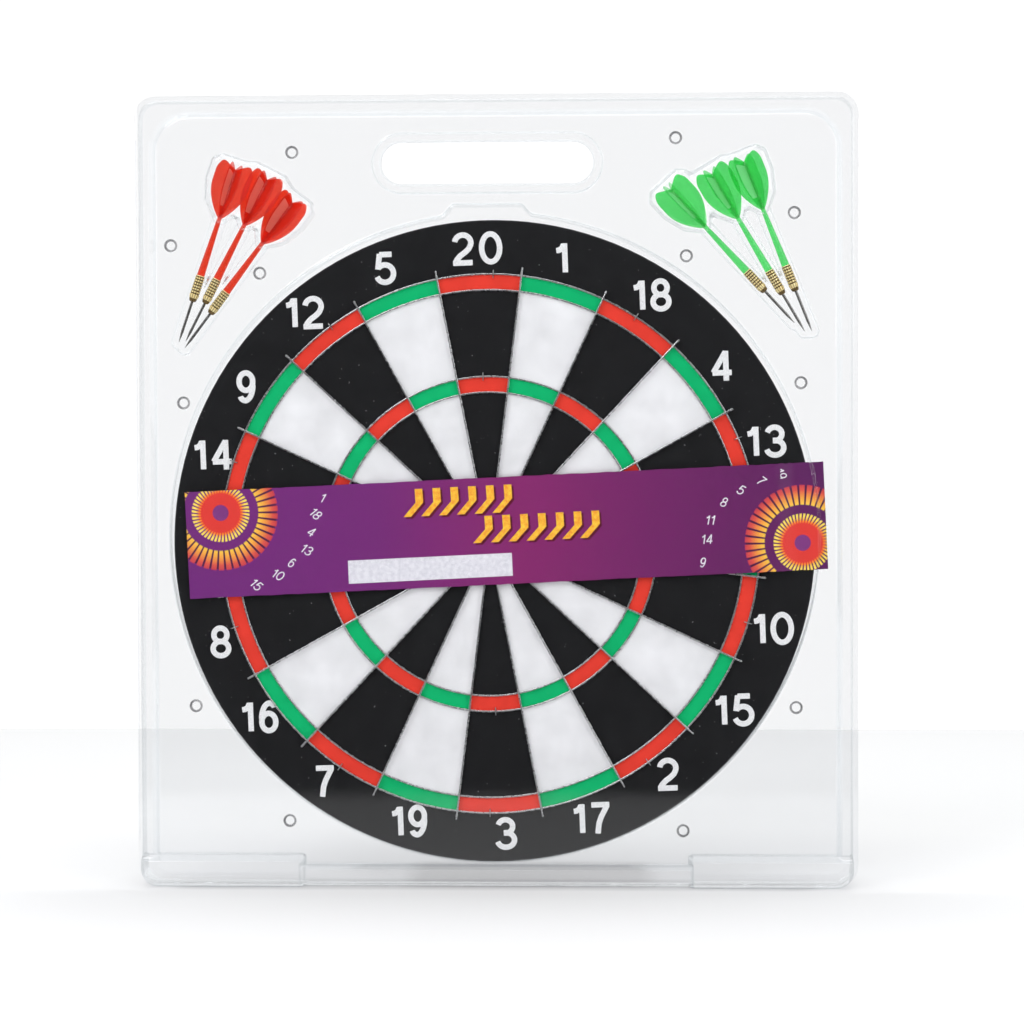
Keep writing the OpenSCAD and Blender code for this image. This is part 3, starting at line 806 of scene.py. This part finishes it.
def formed_sheet(name, front, recess_depth, recess_run, body):
    """One half of the pack: a closed skin of even thickness with drafted walls and rounded bends."""
    raised, carved, lines = sheet_walls(recess_depth, recess_run, front)
    outline = pack_outline(front)
    lines = [loop(outline), stadium_loop(HANDLE_HALF)] + lines
    loose = [(x, z) for x in range(-210, 211, 30) for z in range(30, 521, 30)]
    p, faces = triangulate(lines, loose, 1e-4,
                           lambda at: (sd_polygon(at, outline) < 0) & (sd_slot_reversed(at) < 0))
    if not front:
        faces = faces[:, ::-1]
    height, normal = height_and_normal(p, raised, carved)
    toward = -1.0 if front else 1.0
    outer = np.stack([p[:, 0], toward * height, p[:, 1]], 1)
    normal = normal * [1, toward, 1]
    inner = outer - normal * SHEET_T
    inner[:, 2] = np.maximum(inner[:, 2], 0)
    inner[:, 0] = np.maximum(inner[:, 0], -HALF_W)
    every = closed_skin(faces, len(p))
    # Faces round each press button take the darker tint, a painted shade on the button walls.
    away = sd_snaps(p[faces].mean(1))
    button_shade_faces = ((away > BUTTON_SHADE_RING[0]) & (away < BUTTON_SHADE_RING[1])).astype(int).tolist() * 2
    button_shade_faces += [0] * (len(every) - len(button_shade_faces))
    piece(f"{name}_formed", np.concatenate([outer, inner]), every, body,
          ["clear", "button"], button_shade_faces, normals=np.concatenate([normal, -normal]), replaces=[name])


formed_sheet("front_shell", True, RECESS_FRONT_D, 1.2, "lid")
formed_sheet("rear_shell", False, RECESS_REAR_D, 1.4, "pack")


# ---- the board's printed face ---------------------------------------------------------------

def board_face():
    """A disc split exactly on the printed rings and segments."""
    black, white, red, green = range(4)
    per_segment = 12
    steps = 20 * per_segment
    radii = [BULL_R, RING_R["bull"], RING_R["triple"] - RING_W, RING_R["triple"],
             RING_R["double"] - RING_W, RING_R["double"]]

    def edge_radius(turn):
        """How far the board's round edge is from the bull, which isn't quite at its centre."""
        angle = math.radians(turn + SPIDER_TURN)
        ox, oz = BULL[0] - BOARD[0], BULL[1] - BOARD[1]
        along = ox * math.sin(angle) + oz * math.cos(angle)
        return -along + math.sqrt(along * along - (ox * ox + oz * oz) + BOARD_CORE_R ** 2)

    turns = [360 * i / steps - 9 for i in range(steps)]
    plan = [BULL] + [about_bull(r, turn) for r in radii for turn in turns]
    plan += [about_bull(edge_radius(turn), turn) for turn in turns]
    points = [(x, y, z) for y in (FACE_Y, FACE_Y + SKIN_T) for x, z in plan]
    faces, colours = [], []
    for i in range(steps):
        j = (i + 1) % steps
        single, scoring = (white, green) if (i // per_segment) % 2 else (black, red)
        faces.append((0, 1 + i, 1 + j))
        colours.append(red)
        for k, colour in enumerate([green, single, scoring, single, scoring, black]):
            a, b = 1 + k * steps, 1 + (k + 1) * steps
            faces.append((a + i, b + i, b + j, a + j))
            colours.append(colour)
    every = closed_skin(faces, len(plan))
    colours += [black] * (len(every) - len(colours))
    piece("board_face_print", points, every, "pack", ["black", "white", "red", "green"],
          colours, replaces=["board_face"])


board_face()


# ---- the numerals ---------------------------------------------------------------------------

def bow(cx, cy, rx, ry, start, end, n=14):
    """Points on an ellipse, by angles in degrees counted anticlockwise from the right."""
    return [(cx + rx * math.cos(math.radians(start + (end - start) * i / n)),
             cy + ry * math.sin(math.radians(start + (end - start) * i / n))) for i in range(n + 1)]


# Each numeral's width and the centre lines of its strokes, in units of its height, and how much
# wider than that it is drawn.
STRETCH = {"0": 1.2, "1": 1.0, "2": 1.1, "3": 1.12, "4": 1.06, "5": 1.12, "6": 0.98, "7": 1.1,
           "8": 1.05, "9": 0.95}
DIGITS = {
    "0": (0.54, [bow(0.27, 0.5, 0.27, 0.5, 90, 450, 32)]),
    "1": (0.30, [[(0.30, 0.0), (0.30, 1.04)], [(0.0, 0.79), (0.10, 0.80), (0.20, 0.86), (0.27, 1.0)]]),
    "2": (0.54, [bow(0.27, 0.72, 0.265, 0.28, 172, -18, 14)
                 + [(0.46, 0.50), (0.34, 0.38), (0.18, 0.26), (0.06, 0.12), (0.015, 0.0)],
                 [(-0.07, 0.0), (0.57, 0.0)]]),
    "3": (0.54, [bow(0.26, 0.755, 0.235, 0.245, 165, -80, 14) + [(0.20, 0.52)],
                 [(0.20, 0.525)] + bow(0.265, 0.265, 0.275, 0.265, 85, -168, 16)]),
    "4": (0.58, [[(0.43, -0.04), (0.43, 1.03)], [(0.43, 1.0), (0.0, 0.26)],
                 [(-0.03, 0.25), (0.62, 0.25)]]),
    "5": (0.54, [[(0.50, 1.0), (0.10, 1.0)], [(0.11, 1.03), (0.04, 0.47)],
                 [(0.05, 0.50)] + bow(0.265, 0.315, 0.275, 0.315, 128, -160, 18)]),
    "6": (0.54, [bow(0.28, 0.315, 0.26, 0.315, 180, 540, 26),
                 bow(0.34, 0.42, 0.32, 0.58, 178, 95, 10) + bow(0.30, 0.80, 0.21, 0.2, 88, 12, 7)]),
    "7": (0.52, [[(-0.03, 1.0), (0.56, 1.0)],
                 [(0.475, 0.96), (0.40, 0.80), (0.28, 0.56), (0.20, 0.32), (0.155, -0.04)]]),
    "8": (0.54, [bow(0.27, 0.755, 0.225, 0.245, 90, 450, 26),
                 bow(0.27, 0.26, 0.27, 0.26, 90, 450, 28)]),
    "9": (0.54, [bow(0.26, 0.685, 0.26, 0.315, 0, 360, 26),
                 bow(0.20, 0.58, 0.32, 0.58, -2, -85, 10) + bow(0.24, 0.20, 0.21, 0.2, -92, -168, 7)]),
}


def sd_strokes(p, paths, stroke):
    """Signed distance to numerals drawn with a flat-ended pen."""
    found = np.full(len(p), FAR)
    for path in paths:
        path = np.asarray(path, float)
        reach = np.full(len(p), FAR)
        for a, b in zip(path, path[1:]):
            reach = np.minimum(reach, sd_segment(p, a, b))
        reach -= stroke / 2
        if np.hypot(*(path[0] - path[-1])) > 1e-6:
            for end, inner in ((path[0], path[1]), (path[-1], path[-2])):
                out = (end - inner) / np.hypot(*(end - inner))
                near = np.hypot(*(p - end).T) < stroke * 0.8
                reach = np.where(near, np.maximum(reach, (p - end) @ out), reach)
        found = np.minimum(found, reach)
    return found


def relief(field, box, pitch, bevel, y_top, y_low, place):
    """A closed raised shape: the inside of a distance field, bevelled along its edge."""
    lines = [contour(field, level, box, pitch) for level in (0.0, -bevel)]
    p, faces = triangulate(lines, [], 1e-5, lambda at: field(at) < -1e-4)
    rise = np.clip(-field(p) / bevel, 0, 1)
    plan = [place(u, v) for u, v in p]
    points = [(x, y_low + (y_top - y_low) * t, z) for (x, z), t in zip(plan, rise)]
    points += [(x, y_low + 0.02, z) for x, z in plan]
    return points, closed_skin(faces, len(p))


def number_shape(text, height, stroke, gap, bevel, y_top, y_low, place, slant=0.0, pitch=0.3):
    """The points and faces of a number, centred on (0, 0) of place."""
    made = Parts()
    body = height - stroke
    widths = [DIGITS[c][0] * STRETCH[c] * body for c in text]
    left = -(sum(widths) + (gap + stroke) * (len(text) - 1)) / 2
    for c, width in zip(text, widths):
        wide = STRETCH[c] * body
        paths = [[(left + px * wide + slant * (py - 0.5) * body, (py - 0.5) * body) for px, py in path]
                 for path in DIGITS[c][1]]
        box = (left - stroke - 0.1 * body, left + width + stroke + 0.1 * body,
               -body / 2 - stroke, body / 2 + stroke)
        made.add(*relief(lambda p: sd_strokes(p, paths, stroke), box, pitch, bevel,
                         y_top, y_low, place))
        left += width + gap + stroke
    return made


def board_numbers():
    made = Parts()
    tilt = math.radians(SPIDER_TURN)
    for i, number in enumerate(NUMBERS):
        cx, cz = about_bull(NUMBER_R[i], 18 * i + NUMBER_TURN[i])

        def place(u, v):
            return (cx + u * math.cos(tilt) + v * math.sin(tilt),
                    cz - u * math.sin(tilt) + v * math.cos(tilt))

        shape = number_shape(str(number), NUMBER_H, NUMBER_STROKE, NUMBER_GAP, 0.3,
                             FACE_Y - NUMBER_RELIEF, FACE_Y, place)
        made.add(shape.points, shape.faces)
    piece("board_numbers", made.points, made.faces, "pack", ["foil"], sharp=20)


board_numbers()


# ---- the spider -----------------------------------------------------------------------------

def radial_wires():
    made = Parts()
    for i in range(20):
        (x0, z0), (x1, z1) = (about_bull(r, (i + 0.5) * 18) for r in
                              (RING_R["bull"] + RADIAL_WIRE_R, RADIAL_END - RADIAL_WIRE_R))
        path = [(x0 + (x1 - x0) * t, RADIAL_Y, z0 + (z1 - z0) * t) for t in np.linspace(0, 1, 9)]
        made.add(*tube(path, RADIAL_WIRE_R, 12))
    piece("radial_wire_rods", made.points, made.faces, "pack", ["wire"],
          replaces=["radial_wires"])


def ring_wires():
    for stem, radius in RING_R.items():
        for side, r in (("outer", radius), ("inner", BULL_R if stem == "bull" else radius - RING_W)):
            count = 240 if r > 50 else 96
            path = [(BULL[0] + r * math.sin(2 * math.pi * i / count), RING_Y,
                     BULL[1] + r * math.cos(2 * math.pi * i / count)) for i in range(count)]
            points, faces = tube(path, RING_WIRE_R, 16, closed=True)
            piece(f"{stem}_{side}_wire_ring", points, faces, "pack", ["wire"],
                  replaces=[f"{stem}_{side}_wire"])


def staples():
    """Bowed wire staples over the rings, their legs in the board."""
    # Half of a staple, as its reach across the wire and its height behind the board's face.
    half = [(2.5, 3.0), (2.5, -0.5), (2.35, -1.1), (1.9, -1.55), (1.0, -1.8)]
    profile = [(-a, y) for a, y in half] + [(0.0, -1.85)] + half[::-1]
    made = Parts()
    for ring, angles in (("double", DOUBLE_STAPLES), ("triple", TRIPLE_STAPLES)):
        for angle in angles:
            path = []
            for offset, y in profile:
                x, z = about_bull(RING_R[ring] + offset, angle)
                path.append((x, FACE_Y + y, z))
            made.add(*tube(path, STAPLE_R, 10))
    piece("staple_bows", made.points, made.faces, "pack", ["staple"],
          replaces=["wire_staples"])


ring_wires()
radial_wires()
staples()


# ---- the label --------------------------------------------------------------------------------

def label_depth(u):
    """The y of the label's back face, at a distance along it."""
    a, b = LABEL_SLOPE
    t = min(1.0, max(0.0, (u - a) / (b - a)))
    return LABEL_Y + (LABEL_TAIL_Y - LABEL_Y) * t * t * (3 - 2 * t)


def on_label(u, v):
    c, t = math.cos(LABEL_TILT), math.sin(LABEL_TILT)
    return LABEL[0] + u * c - v * t, LABEL[1] + u * t + v * c


def label_sheet():
    """The card band, with edges that a blade left slightly uneven."""
    rng = np.random.default_rng(5)
    # Places along it, closer together where it bends down past the board's edge.
    us = np.concatenate([np.arange(-215, 178, 5.0), np.arange(178, 200.1, 1.6),
                         np.arange(203, 215.1, 4.0)])
    vs = np.linspace(-LABEL_H / 2, LABEL_H / 2, 17)
    nu, nv = len(us), len(vs)
    ragged = rng.normal(0, 0.12, (2, nu))
    points, plan = [], []
    for thickness in (0, LABEL_T):
        for i, u in enumerate(us):
            for j, v in enumerate(vs):
                edge = 0 if 0 < j < nv - 1 else ragged[0 if j == 0 else 1, i]
                x, z = on_label(u, v + edge)
                points.append((x, label_depth(u) - thickness, z))
                plan.append((u, v + edge, 0.0))
    faces = grid_skin(nu, nv)
    made = piece("label_card", points, faces, "pack", ["label"],
                 replaces=["label_band"])
    attribute = made.data.attributes.new("plan", "FLOAT_VECTOR", "POINT")
    attribute.data.foreach_set("vector", np.asarray(plan, np.float32).ravel())


label_sheet()
PRINT_LIFT = 0.03


def flat_shape(made, outline, lift):
    """A thin printed patch on the label, from its outline in the label's plan."""
    n = len(outline)
    points = []
    for y_off in (lift + PRINT_LIFT, lift):
        for u, v in outline:
            x, z = on_label(u, v)
            points.append((x, label_depth(u) - LABEL_T - y_off, z))
    faces = [tuple(range(n)), tuple(range(2 * n - 1, n - 1, -1))]
    faces += [(i, i + n, (i + 1) % n + n, (i + 1) % n) for i in range(n)]
    made.add(points, faces)


def label_print():
    """A generic ornament of two rows of chevrons, a blank sticker, and small dial numbers."""
    gold, shade = Parts(), Parts()
    pitch, lean, wide = 12.0, 6.0, 5.2
    for start, centre, count, tall in ((-62.0, 21.5, 6, 18.6), (-16.0, 1.5, 7, 18.0)):
        for i in range(count):
            u, half = start + i * pitch, tall / 2
            chevron = [(u - lean, centre - half), (u - lean + wide, centre - half),
                       (u + wide + 2.6, centre), (u + lean * 0.4 + wide, centre + half),
                       (u + lean * 0.4, centre + half), (u + 2.6, centre)]
            flat_shape(gold, chevron, 2 * PRINT_LIFT)
            flat_shape(shade, [(a + 1.3, b - 1.3) for a, b in chevron], PRINT_LIFT)
    piece("label_ornament", gold.points, gold.faces, "pack", ["gold"])
    piece("label_ornament_shadow", shade.points, shade.faces, "pack", ["shadow"])
    sticker = Parts()
    corners = ((-99.0, 203.6), (11.6, 209.0), (10.9, 224.4), (-99.6, 219.2))
    flat_shape(sticker, [label_to_plan(*corner) for corner in corners], PRINT_LIFT)
    piece("label_sticker", sticker.points, sticker.faces, "pack", ["sticker"])
    numbers = Parts()
    # Each number's text, its place in the front view, and its turn on the label.
    rows = [("1", -116.6, 261.5, -20), ("18", -121.3, 250.8, -42), ("4", -124.0, 238.6, -30),
            ("13", -127.4, 226.5, -30), ("6", -137.5, 217.8, -25), ("10", -146.9, 209.7, -28),
            ("15", -161.7, 203.0, -42), ("19", 191.1, 277.0, -62), ("7", 178.3, 272.3, -40),
            ("5", 164.8, 266.3, -30), ("8", 153.4, 258.2, -18), ("11", 143.9, 246.1, -2),
            ("14", 141.9, 233.3, 2), ("9", 139.2, 217.8, 0)]
    for text, x, z, degrees in rows:
        cu, cv = label_to_plan(x, z)
        a = math.radians(degrees)

        def place(u, v):
            return on_label(cu + u * math.cos(a) - v * math.sin(a),
                            cv + u * math.sin(a) + v * math.cos(a))

        top = label_depth(cu) - LABEL_T
        shape = number_shape(text, 6.6, 0.8, 0.9, 0.1, top - 2 * PRINT_LIFT, top - 0.01, place,
                             slant=0.22, pitch=0.2)
        numbers.add(shape.points, shape.faces)
    piece("label_numbers", numbers.points, numbers.faces, "pack", ["white_ink"])


label_print()


# ---- the darts ----------------------------------------------------------------------------------

def dart_matrix(dart, roll):
    """Places a dart drawn with its point at the origin and its length along +Z."""
    x, z, lean = dart
    return (Matrix.Translation((x, 0, z)) @ Matrix.Rotation(math.radians(lean), 4, "Y")
            @ Matrix.Rotation(math.radians(roll), 4, "Z"))


def turned(profile, sides, shape=None):
    """A solid of revolution about Z from (radius, z) rows, closed at both ends.

    shape(side, row) says how much is cut from a radius."""
    points = []
    for row, (r, z) in enumerate(profile):
        for k in range(sides):
            a = 2 * math.pi * k / sides
            rr = r if shape is None else r - shape(k, row)
            points.append((rr * math.cos(a), rr * math.sin(a), z))
    return points, ring_faces(len(profile), sides)


def barrel_shape():
    """Brass barrel: domed nose, and turned rings crossed by straight grip cuts. Grooves and the nose's
    tip are kind 1, drawn in darker brass as painted shade.
    """
    sides, cuts, bands, nose = 96, 12, 7, 4.2
    period = sides // cuts
    # Rows of radius, length, depth of the grip cuts there, and kind.
    rows = [(0.9, 0.0, 0, 1), (1.6, 0.08, 0, 1), (2.15, 0.5, 0, 1), (2.45, 1.2, 0, 1),
            (2.75, 2.4, 0.5, 0), (3.02, 3.4, 0.8, 0), (BARREL_R, nose, 1, 0)]
    pitch = (BARREL_L - nose - 0.7) / bands
    for i in range(bands):
        z0 = nose + pitch * i
        rows += [(BARREL_R, z0 + pitch * 0.06, 1, 0), (BARREL_R, z0 + pitch * 0.64, 1, 1),
                 (BARREL_R - 0.4, z0 + pitch * 0.74, 0, 1), (BARREL_R - 0.4, z0 + pitch * 0.92, 0, 1)]
    rows += [(BARREL_R, BARREL_L - 0.6, 0, 0), (BARREL_R, BARREL_L - 0.4, 0, 0),
             (BARREL_R - 0.35, BARREL_L - 0.05, 0, 0), (2.4, BARREL_L, 0, 0)]

    def cut(k, row):
        return rows[row][2] * 0.38 * (k % period == 0)

    points, faces = turned([(r, z) for r, z, _, _ in rows], sides, cut)
    # Kind 1 faces, the grooves and the nose's tip, take the darker brass as painted shade.
    kinds = []
    for i in range(len(rows) - 1):
        for k in range(sides):
            in_cut = k % period in (0, period - 1) and rows[i][2] > 0 and rows[i + 1][2] > 0
            kinds.append(1 if rows[i][3] or in_cut else 0)
    return points, faces, kinds + [1, 0]


def flight_shape():
    """Shaft and four vanes in one piece, the vanes with rounded shoulders and a notched tail.

    Kind 1 is a panel on one vane drawn in paler plastic, a painted highlight for a light that the vane
    mirrors."""
    made = Parts()
    shaft = [(0.3, -6.0), (2.0, -6.0), (2.0, -0.1), (SHAFT_R0 - 0.15, 0.0), (SHAFT_R0, 0.3)]
    for t in np.linspace(0.05, 1, 12):
        shaft.append((SHAFT_R0 + (SHAFT_R1 - SHAFT_R0) * t, SHAFT_L * t))
    end = SHAFT_L + FLIGHT_L - VANE_NOTCH
    shaft += [(SHAFT_R1, end - 0.8), (SHAFT_R1 * 0.6, end), (0.2, end + 0.1)]
    made.add(*turned(shaft, 28))
    lengths = np.concatenate([np.linspace(0, 0.55, 16), np.linspace(0.6, 1.0, 13)])
    shares = np.linspace(0, 1, 9)

    def width(t):
        """How wide a vane is at a share t of the flight's length."""
        if t < 0.62:
            return SHAFT_R1 * 0.7 + (VANE_W - SHAFT_R1 * 0.7) * math.sin(math.pi / 2 * t / 0.62) ** 0.85
        return VANE_W - 2.8 * max(0.0, (t - 0.8) / 0.2) ** 2

    def tail(t, share):
        """How far a vane's rear edge is cut back at a share of its width."""
        back = VANE_NOTCH * (1 - share) ** 1.3 + 1.2 * max(0.0, (share - 0.75) / 0.25) ** 2
        return back * max(0.0, (t - 0.6) / 0.4)

    for quarter in range(4):
        turn = Matrix.Rotation(math.pi / 2 * quarter, 4, "Z")
        points = []
        for side in (-1, 1):
            for t in lengths:
                for share in shares:
                    thick = 0.30 * (1 - 0.45 * share)
                    rib = 0.12 if 0.2 < share < 0.45 and 0.15 < t < 0.93 else 0.0
                    z = SHAFT_L + t * FLIGHT_L - tail(t, share)
                    points.append(turn @ Vector((share * width(t), side * (thick + rib), z)))
        rows, cols = len(lengths), len(shares)
        faces = grid_skin(rows, cols)
        # Faces of the painted highlight: a paler panel on the fourth vane.
        panel = [int(quarter == 3 and 0.2 < lengths[i] < 0.86 and 1 <= j < cols - 2)
                 for i in range(rows - 1) for j in range(cols - 1)] * 2
        made.add(points, faces, panel + [0] * (len(faces) - len(panel)))
    return made.points, made.faces, made.kinds


def darts():
    barrel, flight = barrel_shape(), flight_shape()
    for colour, rows in DARTS.items():
        for i, dart in enumerate(rows, 1):
            place = dart_matrix(dart, DART_ROLL[colour][i - 1])
            stem = f"dart_{colour}_{i}"
            at = [place @ (Vector(p) + Vector((0, 0, POINT_L))) for p in barrel[0]]
            piece(f"{stem}_barrel_knurled", at, barrel[1], "pack", ["brass", "brass_painted_shade"],
                  barrel[2], sharp=30, replaces=[f"{stem}_barrel"])
            at = [place @ (Vector(p) + Vector((0, 0, POINT_L + BARREL_L))) for p in flight[0]]
            # The second material is the painted highlight on one vane.
            piece(f"{stem}_flight_moulded", at, flight[1], "pack",
                  [f"{colour}_plastic", f"{colour}_painted_glint"], flight[2], sharp=40,
                  replaces=[f"{stem}_flight"])


darts()


# ---- CAD nodes that stay ---------------------------------------------------------------------------

def dress(node, material):
    """Gives a CAD node a finished material and smooth shading."""
    mesh = CAD_NODES[node].data
    mesh.materials.clear()
    mesh.materials.append(M[material])
    mesh.polygons.foreach_set("material_index", np.zeros(len(mesh.polygons), np.int32))
    mesh.shade_smooth()
    mesh.set_sharp_from_angle(angle=math.radians(35))


for colour in DARTS:
    for i in (1, 2, 3):
        dress(f"dart_{colour}_{i}_point", "point")
dress("hinge_fold", "clear")
dress("board_core", "core")
dress("board_back", "back")
dress("rim_band", "band")
dress("hanger_plate", "hanger")
dress("hanger_tacks", "staple")


# ---- floor, light and camera -------------------------------------------------------------------------

def stage_plane(name, centre, size, material, visible=True):
    mesh = bpy.data.meshes.new(name)
    w, h = size[0] / 2, size[1] / 2
    mesh.from_pydata([(-w, -h, 0), (w, -h, 0), (w, h, 0), (-w, h, 0)], [], [(0, 1, 2, 3)])
    mesh.materials.append(material)
    made = bpy.data.objects.new(name, mesh)
    made.location = centre
    bpy.context.scene.collection.objects.link(made)
    if not visible:
        made.visible_camera = made.visible_diffuse = made.visible_shadow = False


def floor_paint():
    """A pale table with a painted soft shade around the pack, and a deeper painted shadow close behind
    its middle.

    Its measures are in metres."""
    s = Shader("floor_paint")
    place = s.add("SeparateXYZ", {0: s.add("NewGeometry").outputs["Position"]}).outputs
    # How far a point is from a line under the pack, 0.2 m to each side.
    out = s.math("MAXIMUM", s.math("SUBTRACT", s.math("ABSOLUTE", place["X"]), 0.2), 0.0)
    squares = s.math("MULTIPLY", out, out), s.math("MULTIPLY", place["Y"], place["Y"])
    away = s.math("SQRT", s.math("ADD", *squares))
    # Painted shade, darkest along the pack's foot and fading out by 0.3 m.
    shade = s.ramp(away, [(0.0, (0.36, 0.36, 0.37, 1)), (0.019, (0.50, 0.50, 0.51, 1)),
                          (0.028, (0.62, 0.62, 0.63, 1)), (0.07, (0.66, 0.665, 0.675, 1)),
                          (0.16, (0.685, 0.69, 0.70, 1)), (0.3, (0.715, 0.72, 0.725, 1))])
    mottle = s.ramp(s.noise(3, 2), [(0.0, 0.985), (1.0, 1.0)])
    tone = s.multiply(shade, mottle)
    # A painted shadow of the board, close behind the pack's middle.
    side = s.math("ABSOLUTE", s.math("SUBTRACT", place["X"], 0.022))
    across = s.add("MapRange", {"Value": side, "From Min": 0.09, "From Max": 0.074}).outputs[0]
    back = s.add("MapRange", {"Value": place["Y"], "From Min": 0.12, "From Max": 0.09}).outputs[0]
    front = s.add("MapRange", {"Value": place["Y"], "From Min": -0.02, "From Max": 0.0}).outputs[0]
    under = s.math("MULTIPLY", s.math("MULTIPLY", across, back), front)
    deeper = s.blend(under, (1, 1, 1, 1), (0.77, 0.76, 0.76, 1))
    tone = s.multiply(tone, deeper)
    matt = s.add("BsdfDiffuse", {"Color": tone}).outputs[0]
    return s.finish(s.mix(s.ramp(away, [(0.0, 0.16), (0.35, 0.0)]), matt, s.gloss(0.2)))


CARD_W, CARD_GAP = 6.0, 0.02


def table_glow():
    """What the pack's foot mirrors: a pale table near it, then the dark of the room."""
    s = Shader("table_glow")
    place = s.add("SeparateXYZ", {0: s.add("TexCoord").outputs["Object"]}).outputs["Y"]
    near = s.add("MapRange", {"Value": place, "From Min": -CARD_W / 2,
                              "From Max": CARD_W / 2}).outputs[0]
    tone = s.ramp(near, [(0.0, 0.01), (0.915, 0.012), (0.932, 0.46), (1.0, 0.62)])
    return s.finish(s.add("Emission", {"Color": tone, "Strength": 1.0}).outputs[0])


def area_light(name, location, target, size, energy):
    data = bpy.data.lights.new(name, "AREA")
    data.energy, data.shape = energy, "RECTANGLE"
    data.size, data.size_y = size
    made = bpy.data.objects.new(name, data)
    made.location = location
    made.rotation_euler = (Vector(target) - Vector(location)).to_track_quat("-Z", "Y").to_euler()
    bpy.context.scene.collection.objects.link(made)


WHITE, BACKDROP_LIGHT, EVEN_LIGHT = (1, 1, 1, 1), 1.1, 1.05


def world():
    """A white backdrop, even light for everything, and for mirrors a room dark only to the front."""
    s = Shader("studio", world=True)
    path = s.add("LightPath").outputs

    def glow(colour, strength):
        return s.add("Background", {"Color": colour, "Strength": strength}).outputs[0]

    depth = s.add("SeparateXYZ", {0: s.add("TexCoord").outputs["Generated"]}).outputs["Y"]
    # From the front (0) through the sides to the back (1).
    room = s.ramp(s.math("MULTIPLY_ADD", depth, 0.5, 0.5),
                  [(0.0, 0.012), (0.018, 0.015), (0.05, 0.5), (0.2, 0.65), (0.42, 0.3), (0.6, 0.9),
                   (1.0, 1.15)])
    seen = s.mix(path["Is Camera Ray"], glow(WHITE, EVEN_LIGHT), glow(WHITE, BACKDROP_LIGHT))
    bpy.context.scene.world = s.finish(s.mix(path["Is Glossy Ray"], seen, glow(room, 1.0)))


def camera():
    """The photograph's view: nearly square on, from a little right of the middle and a little above."""
    azimuth, elevation, roll = (math.radians(a) for a in (2.424, 1.597, -0.162))
    target, distance = Vector((0.0110, 0, 0.25175)), 2.0
    back = Vector((math.sin(azimuth) * math.cos(elevation),
                   -math.cos(azimuth) * math.cos(elevation), math.sin(elevation)))
    right = Vector((math.cos(azimuth), math.sin(azimuth), 0))
    up = back.cross(right)
    turned_right = right * math.cos(roll) + up * math.sin(roll)
    turned_up = up * math.cos(roll) - right * math.sin(roll)
    data = bpy.data.cameras.new("camera")
    data.sensor_width, data.lens = 36.0, 104.527
    data.clip_start, data.clip_end = 0.05, 50
    made = bpy.data.objects.new("camera", data)
    made.matrix_world = Matrix.Translation(target + back * distance) @ Matrix(
        (turned_right, turned_up, back)).transposed().to_4x4()
    bpy.context.scene.collection.objects.link(made)
    bpy.context.scene.camera = made


FLOOR_NEAR, FLOOR_FAR, FLOOR_W = -6.0, 1.04, 12.0
stage_plane("floor", (0, (FLOOR_NEAR + FLOOR_FAR) / 2, 0), (FLOOR_W, FLOOR_FAR - FLOOR_NEAR),
            floor_paint())
# The card lies just before the pack, and only mirrors see it.
stage_plane("table_mirror_card", (0, -CARD_W / 2 - CARD_GAP, 0.002), (CARD_W, CARD_W),
            table_glow(), visible=False)
world()
area_light("key", (-1.1, -1.7, 1.9), (0, 0, 0.3), (0.9, 0.9), 16)
area_light("fill", (1.6, -1.6, 1.0), (0, 0, 0.25), (0.7, 1.2), 7)
area_light("top", (0, -0.2, 2.4), (0, 0, 0), (1.6, 1.6), 22)
camera()

bpy.context.scene.view_settings.view_transform = "Standard"
bpy.context.scene.cycles.transparent_max_bounces = 32
bpy.context.scene.cycles.max_bounces = 16

bpy.context.view_layer.update()
